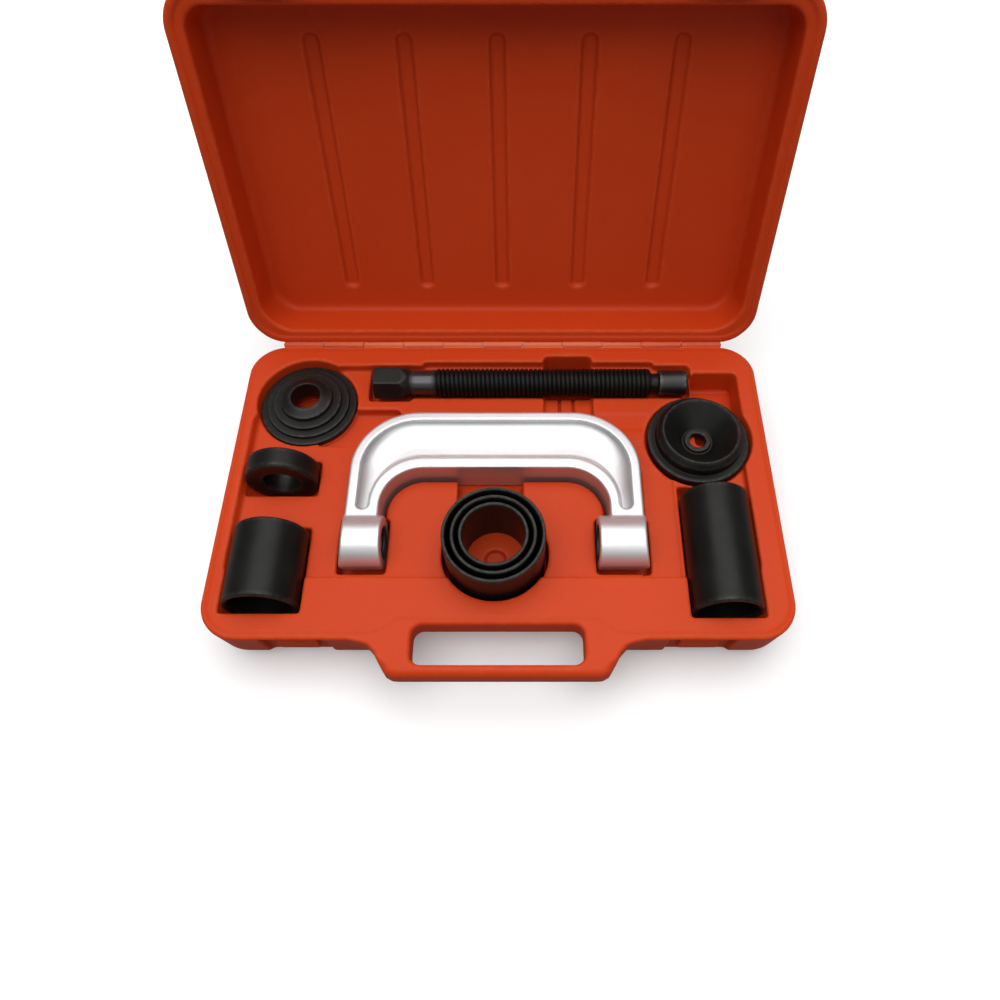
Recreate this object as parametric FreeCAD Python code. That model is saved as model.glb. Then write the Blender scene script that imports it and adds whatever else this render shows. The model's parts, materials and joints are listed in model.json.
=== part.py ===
import FreeCAD, Part
import math
import os
from FreeCAD import Vector, Placement, Rotation

# Ball joint separator: C-frame press, forcing screw and adapter set, lying in a blow-moulded
# carrying case with its lid open.  Millimetres.  +Z up, +X to the right, +Y to the hinge side,
# so the handle and latches are at the front, -Y.  Origin: centre of the base half's
# footprint, on its underside.  Rectangles are (x0, y0, x1, y1).

# --- case ----------------------------------------------------------------------
CASE_L, CASE_W = 400.0, 244.0      # outline at the parting plane
RIM_Z = 48.0                       # height of the base half = parting plane
CORNER_R = 27.0                    # plan corner radius at the parting plane
CORNER_TAPER = 0.25                # loss of corner radius per mm of wall inset
DRAFT = math.radians(4.2)          # draft of the outer walls
FOOT_R, LID_EDGE_R = 20.0, 15.0    # rounding from the walls to the outer faces
ROUNDING_STEPS = (0, 22.5, 45, 67.5, 90)   # degrees round that edge
SKIN = 2.2                         # thickness of each blown skin
MIN_VOID = 2000.0                  # smaller cavities between the skins stay filled

# --- lid, sized as shut ----------------------------------------------------------
LID_H = 42.0                       # depth of the lid half
LID_RECESS = 30.0                  # depth of the hollow over the tools
LID_BAND_SIDE, LID_BAND_HINGE, LID_BAND_FRONT = 12.0, 10.5, 13.0
LID_GAP = 0.15                     # gap between the halves when shut
LID_OPEN = 107.5                   # opening angle, degrees
LID_Z0, LID_Z1 = RIM_Z + LID_GAP, RIM_Z + LID_H
HOLLOW = (-CASE_L / 2 + LID_BAND_SIDE, -CASE_W / 2 + LID_BAND_FRONT,
          CASE_L / 2 - LID_BAND_SIDE, CASE_W / 2 - LID_BAND_HINGE)
HOLLOW_Z = RIM_Z + LID_RECESS
HOLLOW_TAPER = 2.6                 # the hollow narrows by this much on each side
HOLLOW_FRONT_R, HOLLOW_BACK_R = 15.0, 24.0
HOLLOW_R_LOSS = 2.0                # both corner radii shrink by this towards HOLLOW_Z
PANEL, PANEL_R, PANEL_DEPTH = (-150.0, -84.0, 150.0, 80.0), 16.0, 2.0
GROOVE_X = (-120, -60, 0, 60, 120)     # grooves in the ceiling of the hollow
GROOVE_HALF_W, GROOVE_HALF_L, GROOVE_R, GROOVE_DEPTH = 5.0, 88.0, 4.9, 3.0

# --- hinge -----------------------------------------------------------------------
HINGE_Y, HINGE_Z = 123.2, 47.0
KNUCKLE_R, HINGE_PIN_R, HINGE_BORE_R = 2.2, 1.0, 1.05
KNUCKLE_RELIEF = 2.6               # clearance cut in the other half
HINGE_HALF = 176.0                 # the knuckle row runs from -176 to +176
N_KNUCKLES = 11                    # odd: first and last belong to the base
KNUCKLE_GAP = 0.4
WEB_Y = 119.5                      # where the knuckle webs start, inside the wall

# --- carrying handle (part of the base half) ---------------------------------------
GRIP_HOLE = (-57.0, -138.0, 57.0, -111.5)
GRIP_HOLE_R, GRIP_VOID_R = 6.0, 8.0
GRIP_Z0 = 28.0                     # underside of the handle slab
UNDERCUT_HALF_W = 74.0             # hollow below the handle
# left edge of the handle slab, from its root forwards: x, y
HANDLE_LEFT = [(-98, -118), (-92, -121.6), (-86, -124.5), (-81, -130),
               (-76.5, -138), (-73, -143.5), (-69, -145.6), (-65, -146)]
HANDLE_ROOT = [(98, -95), (-98, -95)]  # corners inside the case

# --- latches ----------------------------------------------------------------------
LATCH_X = {"left": -136.0, "right": 136.0}
LATCH_W = 38.0
LATCH_POCKET = 44.0                # width of the wall recess behind a latch
LATCH_Y, LATCH_Z = -119.9, 62.0    # pivot with the lid shut
LATCH_PIN_R, LATCH_BORE_R, LATCH_KNUCKLE_R = 1.5, 1.58, 4.0
LATCH_PIN_INSET, LATCH_HOLE_INSET = 4.5, 5.0   # reach into each side wall of the notch
LATCH_REST = 13.0                  # degrees each latch hangs clear of the catch
PAST_FRONT = -130.0                # y where the recess cuts start, outside the wall
CATCH_WALL, CATCH_TOP = -115.2, 44.0   # recess in the base: y of its wall, z of its top
NOTCH_WALL, NOTCH_Z = -113.0, (52.0, 72.0)     # notch in the lid
NOTCH_SIDE, NOTCH_FOOT_Z = 6.0, 46.0   # solid stock beside and below a notch
LUG_HALF_W = 13.8
# catch lug section: y, z
LUG = [(-114.6, 18.8), (-118.6, 18.8), (-119.0, 20.0),
       (-119.0, 31.0), (-117.0, 37.0), (-114.6, 37.0)]
# latch section, round the plate, the hook and the finger tab: y, z
LATCH_PLATE = [(-125.6, 63.0), (-122.6, 65.0), (LATCH_Y, LATCH_Z + 3.8),
               (LATCH_Y, LATCH_Z - 3.8), (-122.7, 55.0), (-122.7, 18.2), (-116.6, 18.2),
               (-116.2, 17.0), (-118.6, 13.6), (-123.4, 13.0), (-128.2, 5.0),
               (-130.4, 5.4), (-126.2, 14.0), (-125.6, 20.0)]

# --- C-frame ------------------------------------------------------------------------
FRAME_X = -3.5                     # mid-plane of the frame
FRAME_Z = 43.0                     # forging parting plane
FRAME_HALF_T = 14.0                # half thickness of the flanges
FRAME_HALF_W = 104.75              # half width over the flanges
SPINE_BACK, SPINE_FRONT = 51.3, 3.0    # y of the outer and inner edge of the spine
LEG_W = 23.5
LEG_INNER = FRAME_HALF_W - LEG_W
BEND_R_OUT, BEND_R_IN = 48.0, 30.0     # plan radii of the bend
FLANGE_W = 7.2                     # outer raised flange
FLANGE_SPINE, FLANGE_LEG, FLANGE_BEND = 8.4, 7.0, 6.0  # inner flange at spine, leg and bend
SCOOP_END_Y = -30.5
SCOOP_DEPTH, SCOOP_TAPER = 8.5, 2.6    # depth of each scoop, inset of its floor
FLANGE_FILLET = 1.5
BOSS_Y, BOSS_R = -50.5, 19.0
BOSS_L = (-111.2, -81.2)           # threaded boss, x range
BOSS_PLAIN = (69.2, 104.6)         # plain boss, x range
BOSS_TAPER = 3.6                   # draft of a boss's outer face
THREAD_BORE_R, PLAIN_BORE_R, LEAD_IN = 9.9, 12.7, 1.0

# --- forcing screw --------------------------------------------------------------------
SCREW_Y, SCREW_Z = 86.8, 45.0
HEX = (-100.0, -71.5)
HEX_RUNOUT = -78.7                 # the corners are turned off from here to the neck
HEX_TURN = 8.3                     # how far the screw lies turned in its channel, degrees
HEX_AF = 24.0
HEX_CORNER_R = HEX_AF / 2 / math.cos(math.pi / 6)
THREAD = (-52.0, 116.2)
PITCH = 3.44
# one thread ridge: radius, distance into the pitch
SCREW_R, ROOT_R, NECK_R, STUB_R = 11.1, 9.5, 10.1, 7.5
RIDGE = [(ROOT_R, 0.37), (SCREW_R, 1.12), (SCREW_R, 2.32), (ROOT_R, 3.07)]
TIP = (122.4, 144.4)
TIP_R, TIP_BORE_R, TIP_FLOOR = 10.2, 7.56, 6.0
TIP_EDGE, TIP_NOSE = 0.8, 1.6      # chamfers at the mouth and at the closed end
STUB_PLAY = 0.3                    # stub end to the floor of the tip's bore
RING_X = 128.0                     # snap ring groove
RING_R, RING_WIRE_R, RING_SPLIT = 7.3, 0.95, 1.2   # RING_SPLIT: half width of the gap
STUB_GROOVE_R, STUB_GROOVE_HALF = 6.1, 1.0
TIP_GROOVE_R, TIP_GROOVE_HALF = 8.5, 1.1

# --- receiving tubes, nested and standing ------------------------------------------------
NEST_X, NEST_Y = -3.0, -57.7
NEST_TOP = 74.0
# outer radius, bore radius, length
STANDING_TUBES = {"receiving_tube_large": (35.0, 32.5, 63.5),
                  "receiving_tube_medium": (29.1, 26.6, 54.0),
                  "receiving_tube_small": (23.6, 21.1, 44.5)}
BOTTOM_LARGE, BOTTOM_MEDIUM, BOTTOM_SMALL = [
    NEST_TOP - length for _, _, length in STANDING_TUBES.values()]
STANDING_CHAMFER = 0.6

# --- tubes lying in the tray, along Y -----------------------------------------------------
LYING_Z = 44.0
# x, outer radius, bore radius, y0, y1, trough
LYING_TUBES = {
    "short_sleeve": (-160.0, 26.0, 13.0, -3.5, 12.5, (-187.0, -11.8, -132.5, 17.0)),
    "installing_tube": (-160.0, 25.5, 21.5, -99.5, -42.5, (-187.0, -104.0, -132.0, -38.0)),
    "long_receiving_tube": (154.0, 24.0, 20.0, -102.6, -14.5, (128.4, -107.0, 179.4, -4.5))}
LYING_CHAMFER = 1.2
TROUGH_PLAY = 0.8

# --- adapters --------------------------------------------------------------------------------
SEAT_Z = 36.0                      # underside of both adapters
STEPPED_X, STEPPED_Y = -150.5, 69.0
STEPPED_TIERS = [(36.8, 40.5), (31.6, 43.2), (26.0, 46.4), (19.7, 50.0)]   # radius, top z
STEPPED_CROWN = (12.0, 52.6)       # the top face rises to a lip round the bore
STEPPED_BORE, STEPPED_CHAMFER, CROWN_CHAMFER = 11.2, 0.7, 0.4
DISH_X, DISH_Y = 149.0, 35.5
DISH_BORE = 6.2
# half section of the dished adapter: radius, height above the seat
DISH_PROFILE = [
    (DISH_BORE, 0), (37.6, 0), (38.2, 0.6), (38.2, 7.4), (37.6, 8),
    (32.3, 8), (32.3, 15.0), (28.7, 19.3), (28.0, 19.6), (27.4, 19.2),
    (11.6, 3.6), (10.4, 3.6), (10.0, 5.4), (9.4, 6.0), (DISH_BORE + 0.5, 6.0), (DISH_BORE, 5.5)]

# --- wells in the base --------------------------------------------------------------------------
OVER_RIM = RIM_Z + 20              # z where the cuts from above start
FLOOR_PLAY = 0.2                   # gap below a piece resting in its well
LAND_Z = 41.0                      # level of the tray between the pockets
TRAY_Y0 = -78.0
CHANNEL_Z = SCREW_Z - 4            # shoulder of the screw channel
# each entry: rectangle, corner radius, floor z
TRAY_WELLS = [
    ((-188.0, TRAY_Y0, 180.2, 60.0), 10, LAND_Z),       # sunk tray
    ((-131.0, 45.0, 148.0, 101.6), 3, LAND_Z),          # narrower, up to the screw channel
    ((100.0, TRAY_Y0, 127.0, 34.0), 2, LAND_Z - 0.8),   # two shallow steps on the right
    ((100.0, TRAY_Y0, 127.0, 7.7), 2, LAND_Z - 1.5)]
# adapter seats: x, y, radius, floor z
ROUND_SEATS = [(STEPPED_X, STEPPED_Y, 38.0, SEAT_Z - FLOOR_PLAY),
               (STEPPED_X, STEPPED_Y, 16.0, 26.5),
               (DISH_X, DISH_Y, 39.8, SEAT_Z - FLOOR_PLAY)]
DISH_FINGER_WELL = ((148.5, 34, 184.2, 94.6), 4, 25.0)
HEX_WELL = ((-104.5, 72.6, -70.5, 102.0), 3, 31.3)
CHANNEL_X, CHANNEL_R = (-80.0, 147.5), 12.2
CHANNEL_WELL = ((CHANNEL_X[0], 76.0, CHANNEL_X[1], 101.8), 3, CHANNEL_Z)
THREAD_WELL = ((-63.0, 75.2, 120.0, 105.4), 3, CHANNEL_Z)
SCREW_FINGER_WELLS = [((33.0, 78.0, 71.0, 111.2), 4, 24.0),
                      ((33.0, 51.0, 71.0, 84.0), 4, 35.0)]
SLOT_X, SLOT_HALF_W, SLOT_Y, SLOT_FLOOR = (45.3, 56.1), 0.8, (53.0, 79.0), 31.6
FRAME_PLAY = 3.0                   # plan clearance round the C-frame
BOSS_WELL_Y = (-73.4, -31.0)
BOSS_WELLS_X = [(BOSS_L[0] - 2.0, BOSS_L[1] + 2.4), (BOSS_PLAIN[0] - 1.4, BOSS_PLAIN[1] + 1.4)]
BOSS_WELL_FLOOR = FRAME_Z - BOSS_R - 0.8
NEST_WELL_R = 37.5
NEST_SHELF = ((-31.6, -40.0, 17.0, 8.0), 6, 28.8)
LEFT_SHELF = ((-140.0, 31.0, -78.0, 64.4), 5, 33.0)
LEFT_SHELF_KEEP_R = 37.0           # kept off the stepped adapter's seat
PEDESTAL_R_MEDIUM, PEDESTAL_R_SMALL = 31.6, 25.7
PEDESTAL_OVERLAP = 0.5             # sunk into the floor of the well
PEDESTAL_HOLE_R, PEDESTAL_HOLE_DEPTH = 7.5, 3.5


# ---------------------------------------------------------------------------
# helpers
# ---------------------------------------------------------------------------
def wire_path(steps, z):
    """Closed wire of (start, mid) steps: an arc through mid, or a line where mid is None."""
    edges = []
    for (start, mid), (end, _) in zip(steps, steps[1:] + steps[:1]):
        first, last = Vector(*start, z), Vector(*end, z)
        if mid is None:
            edges.append(Part.makeLine(first, last))
        else:
            edges.append(Part.Arc(first, Vector(*mid, z), last).toShape())
    return Part.Wire(edges)


def wire_rrect(rect, front_r, z, back_r=None):
    """Rounded rectangle; back_r, if given, is the radius of its two +Y corners."""
    x0, y0, x1, y1 = rect
    front, back = front_r, front_r if back_r is None else back_r
    front_mid = front * (1 - math.sqrt(0.5))
    back_mid = back * (1 - math.sqrt(0.5))
    return wire_path([((x0 + front, y0), None),
                      ((x1 - front, y0), (x1 - front_mid, y0 + front_mid)),
                      ((x1, y0 + front), None),
                      ((x1, y1 - back), (x1 - back_mid, y1 - back_mid)),
                      ((x1 - back, y1), None),
                      ((x0 + back, y1), (x0 + back_mid, y1 - back_mid)),
                      ((x0, y1 - back), None),
                      ((x0, y0 + front), (x0 + front_mid, y0 + front_mid))], z)


def grown(rect, grow):
    x0, y0, x1, y1 = rect
    return (x0 - grow, y0 - grow, x1 + grow, y1 + grow)


def rbox(rect, r, z0, z1):
    return Part.Face(wire_rrect(rect, r, z0)).extrude(Vector(0, 0, z1 - z0))


def box(x0, y0, z0, x1, y1, z1):
    return Part.makeBox(x1 - x0, y1 - y0, z1 - z0, Vector(x0, y0, z0))


def cyl_z(x, y, r, z0, z1):
    return Part.makeCylinder(r, z1 - z0, Vector(x, y, z0), Vector(0, 0, 1))


def cyl_x(y, z, r, x0, x1):
    return Part.makeCylinder(r, x1 - x0, Vector(x0, y, z), Vector(1, 0, 0))


def cyl_y(x, z, r, y0, y1):
    return Part.makeCylinder(r, y1 - y0, Vector(x, y0, z), Vector(0, 1, 0))


def polygon(points):
    return Part.makePolygon(points + points[:1])


def prism_x(section, x0, x1):
    """(y, z) polygon extruded along X"""
    outline = polygon([Vector(x0, y, z) for y, z in section])
    return Part.Face(outline).extrude(Vector(x1 - x0, 0, 0))


def revolve(profile, base, axis):
    """(radius, height) profile turned about the axis through base"""
    outline = polygon([Vector(r, 0, height) for r, height in profile])
    turned = Part.Face(outline).revolve(Vector(0, 0, 0), Vector(0, 0, 1), 360).Solids[0]
    turned.Placement = Placement(Vector(*base), Rotation(Vector(0, 0, 1), Vector(*axis)))
    return turned


def fuse(parts):
    return parts[0].multiFuse(parts[1:]).removeSplitter()


# ---------------------------------------------------------------------------
# shared by both case halves
# ---------------------------------------------------------------------------
def case_half(z_part, z_outer, rounding, skin=0.0):
    """Drafted half from the parting plane to its outer face, shrunk all round by skin."""
    away = 1 if z_outer > z_part else -1
    straight = abs(z_outer - z_part) - rounding
    levels = [(z_part + away * skin, skin, CORNER_R - skin)]   # z, inset, corner radius
    for degrees in ROUNDING_STEPS:
        angle = math.radians(degrees)
        z = z_part + away * (straight + rounding * math.sin(angle) - skin)
        inset = straight * math.tan(DRAFT) + rounding * (1 - math.cos(angle))
        levels.append((z, inset + skin, CORNER_R - CORNER_TAPER * inset - skin))
    outline = (-CASE_L / 2, -CASE_W / 2, CASE_L / 2, CASE_W / 2)
    wires = [wire_rrect(grown(outline, -inset), r, z) for z, inset, r in levels]
    return Part.makeLoft(wires, True, True)


def cut_voids(body, voids):
    for void in voids:
        if void.Volume > MIN_VOID:
            body = body.cut(void)
    return body


def hinge_cyl(r, x0, x1):
    return cyl_x(HINGE_Y, HINGE_Z, r, x0, x1)


def knuckle_spans():
    """x range of every knuckle; the even ones belong to the base"""
    pitch = 2 * HINGE_HALF / N_KNUCKLES
    return [(-HINGE_HALF + i * pitch + KNUCKLE_GAP / 2,
             -HINGE_HALF + (i + 1) * pitch - KNUCKLE_GAP / 2) for i in range(N_KNUCKLES)]


def knuckle_relief(x0, x1):
    return hinge_cyl(KNUCKLE_RELIEF, x0 - KNUCKLE_GAP, x1 + KNUCKLE_GAP)


def hinge_bore(r):
    return hinge_cyl(r, -HINGE_HALF - 1, HINGE_HALF + 1)


def latch_recess(x, wall_y, z0, z1, side=0.0):
    """block in front of wall_y, as wide as a latch pocket plus side at each end"""
    half = LATCH_POCKET / 2 + side
    return box(x - half, PAST_FRONT, z0, x + half, wall_y, z1)


# ---------------------------------------------------------------------------
# case base
# ---------------------------------------------------------------------------
def frame_outline(grow, z0, z1):
    """C-frame plan shape grown by grow, its legs ending at BOSS_Y"""
    outer_x, inner_x = FRAME_HALF_W + grow, LEG_INNER - grow
    outer = rbox((FRAME_X - outer_x, BOSS_Y - 2 * BEND_R_OUT,
                  FRAME_X + outer_x, SPINE_BACK + grow), BEND_R_OUT + grow, z0, z1)
    inner = rbox((FRAME_X - inner_x, BOSS_Y - 3 * BEND_R_OUT,
                  FRAME_X + inner_x, SPINE_FRONT - grow), BEND_R_IN - grow, z0 - 1, z1 + 1)
    keep = box(FRAME_X - 300, BOSS_Y, z0 - 2, FRAME_X + 300, 300, z1 + 2)
    return outer.cut(inner).common(keep)


def pockets(grow):
    """Solids removed from the base; grow = SKIN gives their claim on the inner void."""
    def well(rect, r, floor):
        return rbox(grown(rect, grow), r + grow, floor - grow, OVER_RIM)

    def round_well(x, y, r, floor):
        return cyl_z(x, y, r + grow, floor - grow, OVER_RIM)

    def square_well(x0, y0, x1, y1, floor):
        return box(x0 - grow, y0 - grow, floor - grow, x1 + grow, y1 + grow, OVER_RIM)

    found = [well(*entry) for entry in TRAY_WELLS]
    found += [round_well(*seat) for seat in ROUND_SEATS]
    found.append(well(*DISH_FINGER_WELL))
    # round-bottomed troughs of the lying tubes
    for x, r, _, _, _, trough in LYING_TUBES.values():
        found.append(well(trough, 3, LYING_Z))
        found.append(cyl_y(x, LYING_Z, r + TROUGH_PLAY + grow, trough[1] - grow, trough[3] + grow))
    # forcing screw channel: round-bottomed, wider at the thread
    found.append(well(*HEX_WELL))
    found.append(well(*CHANNEL_WELL))
    found.append(cyl_x(SCREW_Y, SCREW_Z, CHANNEL_R + grow, CHANNEL_X[0] - grow, CHANNEL_X[1] + grow))
    found.append(well(*THREAD_WELL))
    # finger well across the channel, with two narrow slots in its shallow part
    found += [well(*entry) for entry in SCREW_FINGER_WELLS]
    for x in SLOT_X:
        found.append(square_well(x - SLOT_HALF_W, SLOT_Y[0], x + SLOT_HALF_W, SLOT_Y[1], SLOT_FLOOR))
    # C-frame pocket with deeper boss wells
    frame_floor = FRAME_Z - FRAME_HALF_T - FLOOR_PLAY
    found.append(frame_outline(FRAME_PLAY + grow, frame_floor - grow, OVER_RIM))
    for x0, x1 in BOSS_WELLS_X:
        found.append(square_well(x0, BOSS_WELL_Y[0], x1, BOSS_WELL_Y[1], BOSS_WELL_FLOOR))
    # round well of the nested tubes, open to the frame pocket
    found.append(round_well(NEST_X, NEST_Y, NEST_WELL_R, BOTTOM_LARGE - FLOOR_PLAY))
    found.append(well(*NEST_SHELF))
    # lower shelf between the stepped adapter and the C-frame
    found.append(well(*LEFT_SHELF).cut(
        cyl_z(STEPPED_X, STEPPED_Y, LEFT_SHELF_KEEP_R - grow, 20, OVER_RIM + 1)))
    return found


def nest_pedestal(shrink):
    """stepped plug that carries the medium and small tubes"""
    drop = FLOOR_PLAY + shrink
    foot = BOTTOM_LARGE - drop - PEDESTAL_OVERLAP
    plug = fuse([cyl_z(NEST_X, NEST_Y, PEDESTAL_R_MEDIUM - shrink, foot, BOTTOM_MEDIUM - drop),
                 cyl_z(NEST_X, NEST_Y, PEDESTAL_R_SMALL - shrink, foot, BOTTOM_SMALL - drop)])
    return plug.cut(cyl_z(NEST_X, NEST_Y, PEDESTAL_HOLE_R + shrink,
                          BOTTOM_SMALL - PEDESTAL_HOLE_DEPTH - shrink, NEST_TOP))


def handle_slab(shrink, z0, z1):
    """handle slab: flared root and straight grip bar"""
    right = [(-x, y) for x, y in reversed(HANDLE_LEFT)]
    outline = polygon([Vector(x, y, z0) for x, y in HANDLE_LEFT + right + HANDLE_ROOT])
    if shrink:
        outline = outline.makeOffset2D(-shrink)
    return Part.Face(outline).extrude(Vector(0, 0, z1 - z0))


def handle_undercut(slope, z_top, half_w):
    """finger space below the handle; slope is its back face, top to bottom: y, z"""
    return prism_x([(-150, -1), (-150, z_top)] + slope, -half_w, half_w)


def make_base_void():
    """hollow between the outer and the inner skin"""
    void = case_half(RIM_Z, 0.0, FOOT_R, SKIN)
    void = void.fuse(handle_slab(SKIN, GRIP_Z0 + SKIN, RIM_Z - SKIN))
    top = GRIP_Z0 + SKIN
    void = void.cut(handle_undercut([(-106.5, top), (-95.6, 12), (-93.5, -1)],
                                    top, UNDERCUT_HALF_W + SKIN))
    void = void.cut(rbox(grown(GRIP_HOLE, SKIN), GRIP_VOID_R, -1, RIM_Z + 1))
    for x in LATCH_X.values():
        void = void.cut(latch_recess(x, CATCH_WALL + SKIN, -1, CATCH_TOP + SKIN, SKIN))
    for pocket in pockets(SKIN):
        void = void.cut(pocket)
    return void.fuse(nest_pedestal(SKIN))


def make_base():
    body = case_half(RIM_Z, 0.0, FOOT_R)
    body = body.fuse(handle_slab(0, GRIP_Z0, RIM_Z))
    body = body.cut(handle_undercut([(-108, GRIP_Z0), (-98, 12), (-96, -1)],
                                    GRIP_Z0, UNDERCUT_HALF_W))
    body = body.cut(rbox(GRIP_HOLE, GRIP_HOLE_R, -1, RIM_Z + 1))
    # catch recesses in the front wall, each with its lug
    for x in LATCH_X.values():
        body = body.cut(latch_recess(x, CATCH_WALL, -1, CATCH_TOP))
        body = body.fuse(prism_x(LUG, x - LUG_HALF_W, x + LUG_HALF_W))
    for i, (x0, x1) in enumerate(knuckle_spans()):
        if i % 2 == 0:
            body = body.fuse(hinge_cyl(KNUCKLE_R, x0, x1))
            body = body.fuse(box(x0, WEB_Y, HINGE_Z - KNUCKLE_R, x1, HINGE_Y, HINGE_Z))
        else:
            body = body.cut(knuckle_relief(x0, x1))
    for pocket in pockets(0):
        body = body.cut(pocket)
    body = body.fuse(nest_pedestal(0))
    voids = sorted(make_base_void().Solids, key=lambda solid: -solid.Volume)
    body = cut_voids(body, voids)
    return body.cut(hinge_bore(HINGE_PIN_R))


# ---------------------------------------------------------------------------
# lid and latches, built shut, then opened about the hinge
# ---------------------------------------------------------------------------
def open_lid(shape):
    opened = shape.copy()
    opened.rotate(Vector(0, HINGE_Y, HINGE_Z), Vector(1, 0, 0), -LID_OPEN)
    return opened


def lid_cuts(grow):
    """hollow over the tools, outer panel and ceiling grooves, all grown by grow"""
    hollow = Part.makeLoft(
        [wire_rrect(grown(HOLLOW, grow), HOLLOW_FRONT_R + grow, LID_Z0 - 1,
                    HOLLOW_BACK_R + grow),
         wire_rrect(grown(HOLLOW, grow - HOLLOW_TAPER), HOLLOW_FRONT_R - HOLLOW_R_LOSS + grow,
                    HOLLOW_Z + grow, HOLLOW_BACK_R - HOLLOW_R_LOSS + grow)], True, True)
    panel = rbox(grown(PANEL, grow), PANEL_R + grow, LID_Z1 - PANEL_DEPTH - grow, LID_Z1 + 5)
    grooves = [rbox(grown((x - GROOVE_HALF_W, -GROOVE_HALF_L,
                           x + GROOVE_HALF_W, GROOVE_HALF_L), grow),
                    GROOVE_R + grow, HOLLOW_Z - 1, HOLLOW_Z + GROOVE_DEPTH + grow)
               for x in GROOVE_X]
    return [hollow, panel] + grooves


def make_lid():
    body = case_half(LID_Z0, LID_Z1, LID_EDGE_R)
    for x in LATCH_X.values():
        body = body.cut(latch_recess(x, NOTCH_WALL, *NOTCH_Z))
    # lid knuckles between the base knuckles, with webs: y, z
    web = [(WEB_Y, LID_Z0), (122.3, LID_Z0), (HINGE_Y, HINGE_Z), (HINGE_Y + KNUCKLE_R, HINGE_Z),
           (HINGE_Y + KNUCKLE_R, 48.6), (122.6, 51.4), (WEB_Y, 52.4)]
    for i, (x0, x1) in enumerate(knuckle_spans()):
        if i % 2 == 1:
            body = body.fuse(hinge_cyl(KNUCKLE_R, x0, x1))
            body = body.fuse(prism_x(web, x0, x1))
        else:
            body = body.cut(knuckle_relief(x0, x1))
    for cutter in lid_cuts(0):
        body = body.cut(cutter)
    # hollow between the skins
    void = case_half(LID_Z0, LID_Z1, LID_EDGE_R, SKIN)
    for cutter in lid_cuts(SKIN):
        void = void.cut(cutter)
    for x in LATCH_X.values():
        void = void.cut(latch_recess(x, NOTCH_WALL + SKIN, NOTCH_FOOT_Z, NOTCH_Z[1] + SKIN,
                                     NOTCH_SIDE))
    body = cut_voids(body, void.Solids)
    body = body.cut(hinge_bore(HINGE_BORE_R))
    for x in LATCH_X.values():
        body = body.cut(latch_pin_cyl(x, LATCH_HOLE_INSET))
    return open_lid(body)


def latch_pin_cyl(x, inset):
    half = LATCH_POCKET / 2 + inset
    return cyl_x(LATCH_Y, LATCH_Z, LATCH_PIN_R, x - half, x + half)


def make_latch(x):
    """knuckle and hooked plate with a finger tab"""
    x0, x1 = x - LATCH_W / 2, x + LATCH_W / 2
    knuckle = cyl_x(LATCH_Y, LATCH_Z, LATCH_KNUCKLE_R, x0, x1)
    latch = knuckle.fuse(prism_x(LATCH_PLATE, x0, x1)).removeSplitter()
    latch = latch.cut(cyl_x(LATCH_Y, LATCH_Z, LATCH_BORE_R, x0 - 1, x1 + 1))
    latch.rotate(Vector(0, LATCH_Y, LATCH_Z), Vector(1, 0, 0), -LATCH_REST)
    return open_lid(latch)


# ---------------------------------------------------------------------------
# C-frame
# ---------------------------------------------------------------------------
def scoop_wire(shrink, z):
    """outline of the scoop between the flanges"""
    outer_x = FRAME_HALF_W - FLANGE_W - shrink
    inner_x = LEG_INNER + FLANGE_LEG + shrink
    back_y = SPINE_BACK - FLANGE_W - shrink
    front_y = SPINE_FRONT + FLANGE_SPINE + shrink
    outer_r = BEND_R_OUT - FLANGE_W - shrink
    inner_r = BEND_R_IN + FLANGE_BEND + shrink
    end_y = SCOOP_END_Y + shrink
    mid_x = (outer_x + inner_x) / 2
    leg_y = end_y + (outer_x - inner_x) / 2        # centre of the rounded leg ends
    outer_mid = outer_r * (1 - math.sqrt(0.5))
    inner_mid = inner_r * (1 - math.sqrt(0.5))
    # x is measured from the mid-plane of the frame
    steps = [((-inner_x, leg_y), (-mid_x, end_y)),                          # left leg end
             ((-outer_x, leg_y), None),
             ((-outer_x, back_y - outer_r), (-outer_x + outer_mid, back_y - outer_mid)),
             ((-outer_x + outer_r, back_y), None),                          # spine, back
             ((outer_x - outer_r, back_y), (outer_x - outer_mid, back_y - outer_mid)),
             ((outer_x, back_y - outer_r), None),
             ((outer_x, leg_y), (mid_x, end_y)),                            # right leg end
             ((inner_x, leg_y), None),
             ((inner_x, front_y - inner_r), (inner_x - inner_mid, front_y - inner_mid)),
             ((inner_x - inner_r, front_y), None),                          # spine, front
             ((-inner_x + inner_r, front_y), (-inner_x + inner_mid, front_y - inner_mid)),
             ((-inner_x, front_y - inner_r), None)]

    def place(point):
        return point and (FRAME_X + point[0], point[1])

    return wire_path([(place(start), place(mid)) for start, mid in steps], z)


def boss(inner, outer):
    """boss with a flat face at x = inner and a drafted face at x = outer"""
    barrel = cyl_x(BOSS_Y, FRAME_Z, BOSS_R, min(inner, outer), max(inner, outer))
    shoulder = outer + math.copysign(BOSS_TAPER, inner - outer)
    top, bottom = FRAME_Z + BOSS_R, FRAME_Z - BOSS_R
    section = [(outer, FRAME_Z), (shoulder, top), (inner, top), (inner, bottom), (shoulder, bottom)]
    outline = polygon([Vector(x, BOSS_Y - 30, z) for x, z in section])
    return barrel.common(Part.Face(outline).extrude(Vector(0, 60, 0)))


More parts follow.
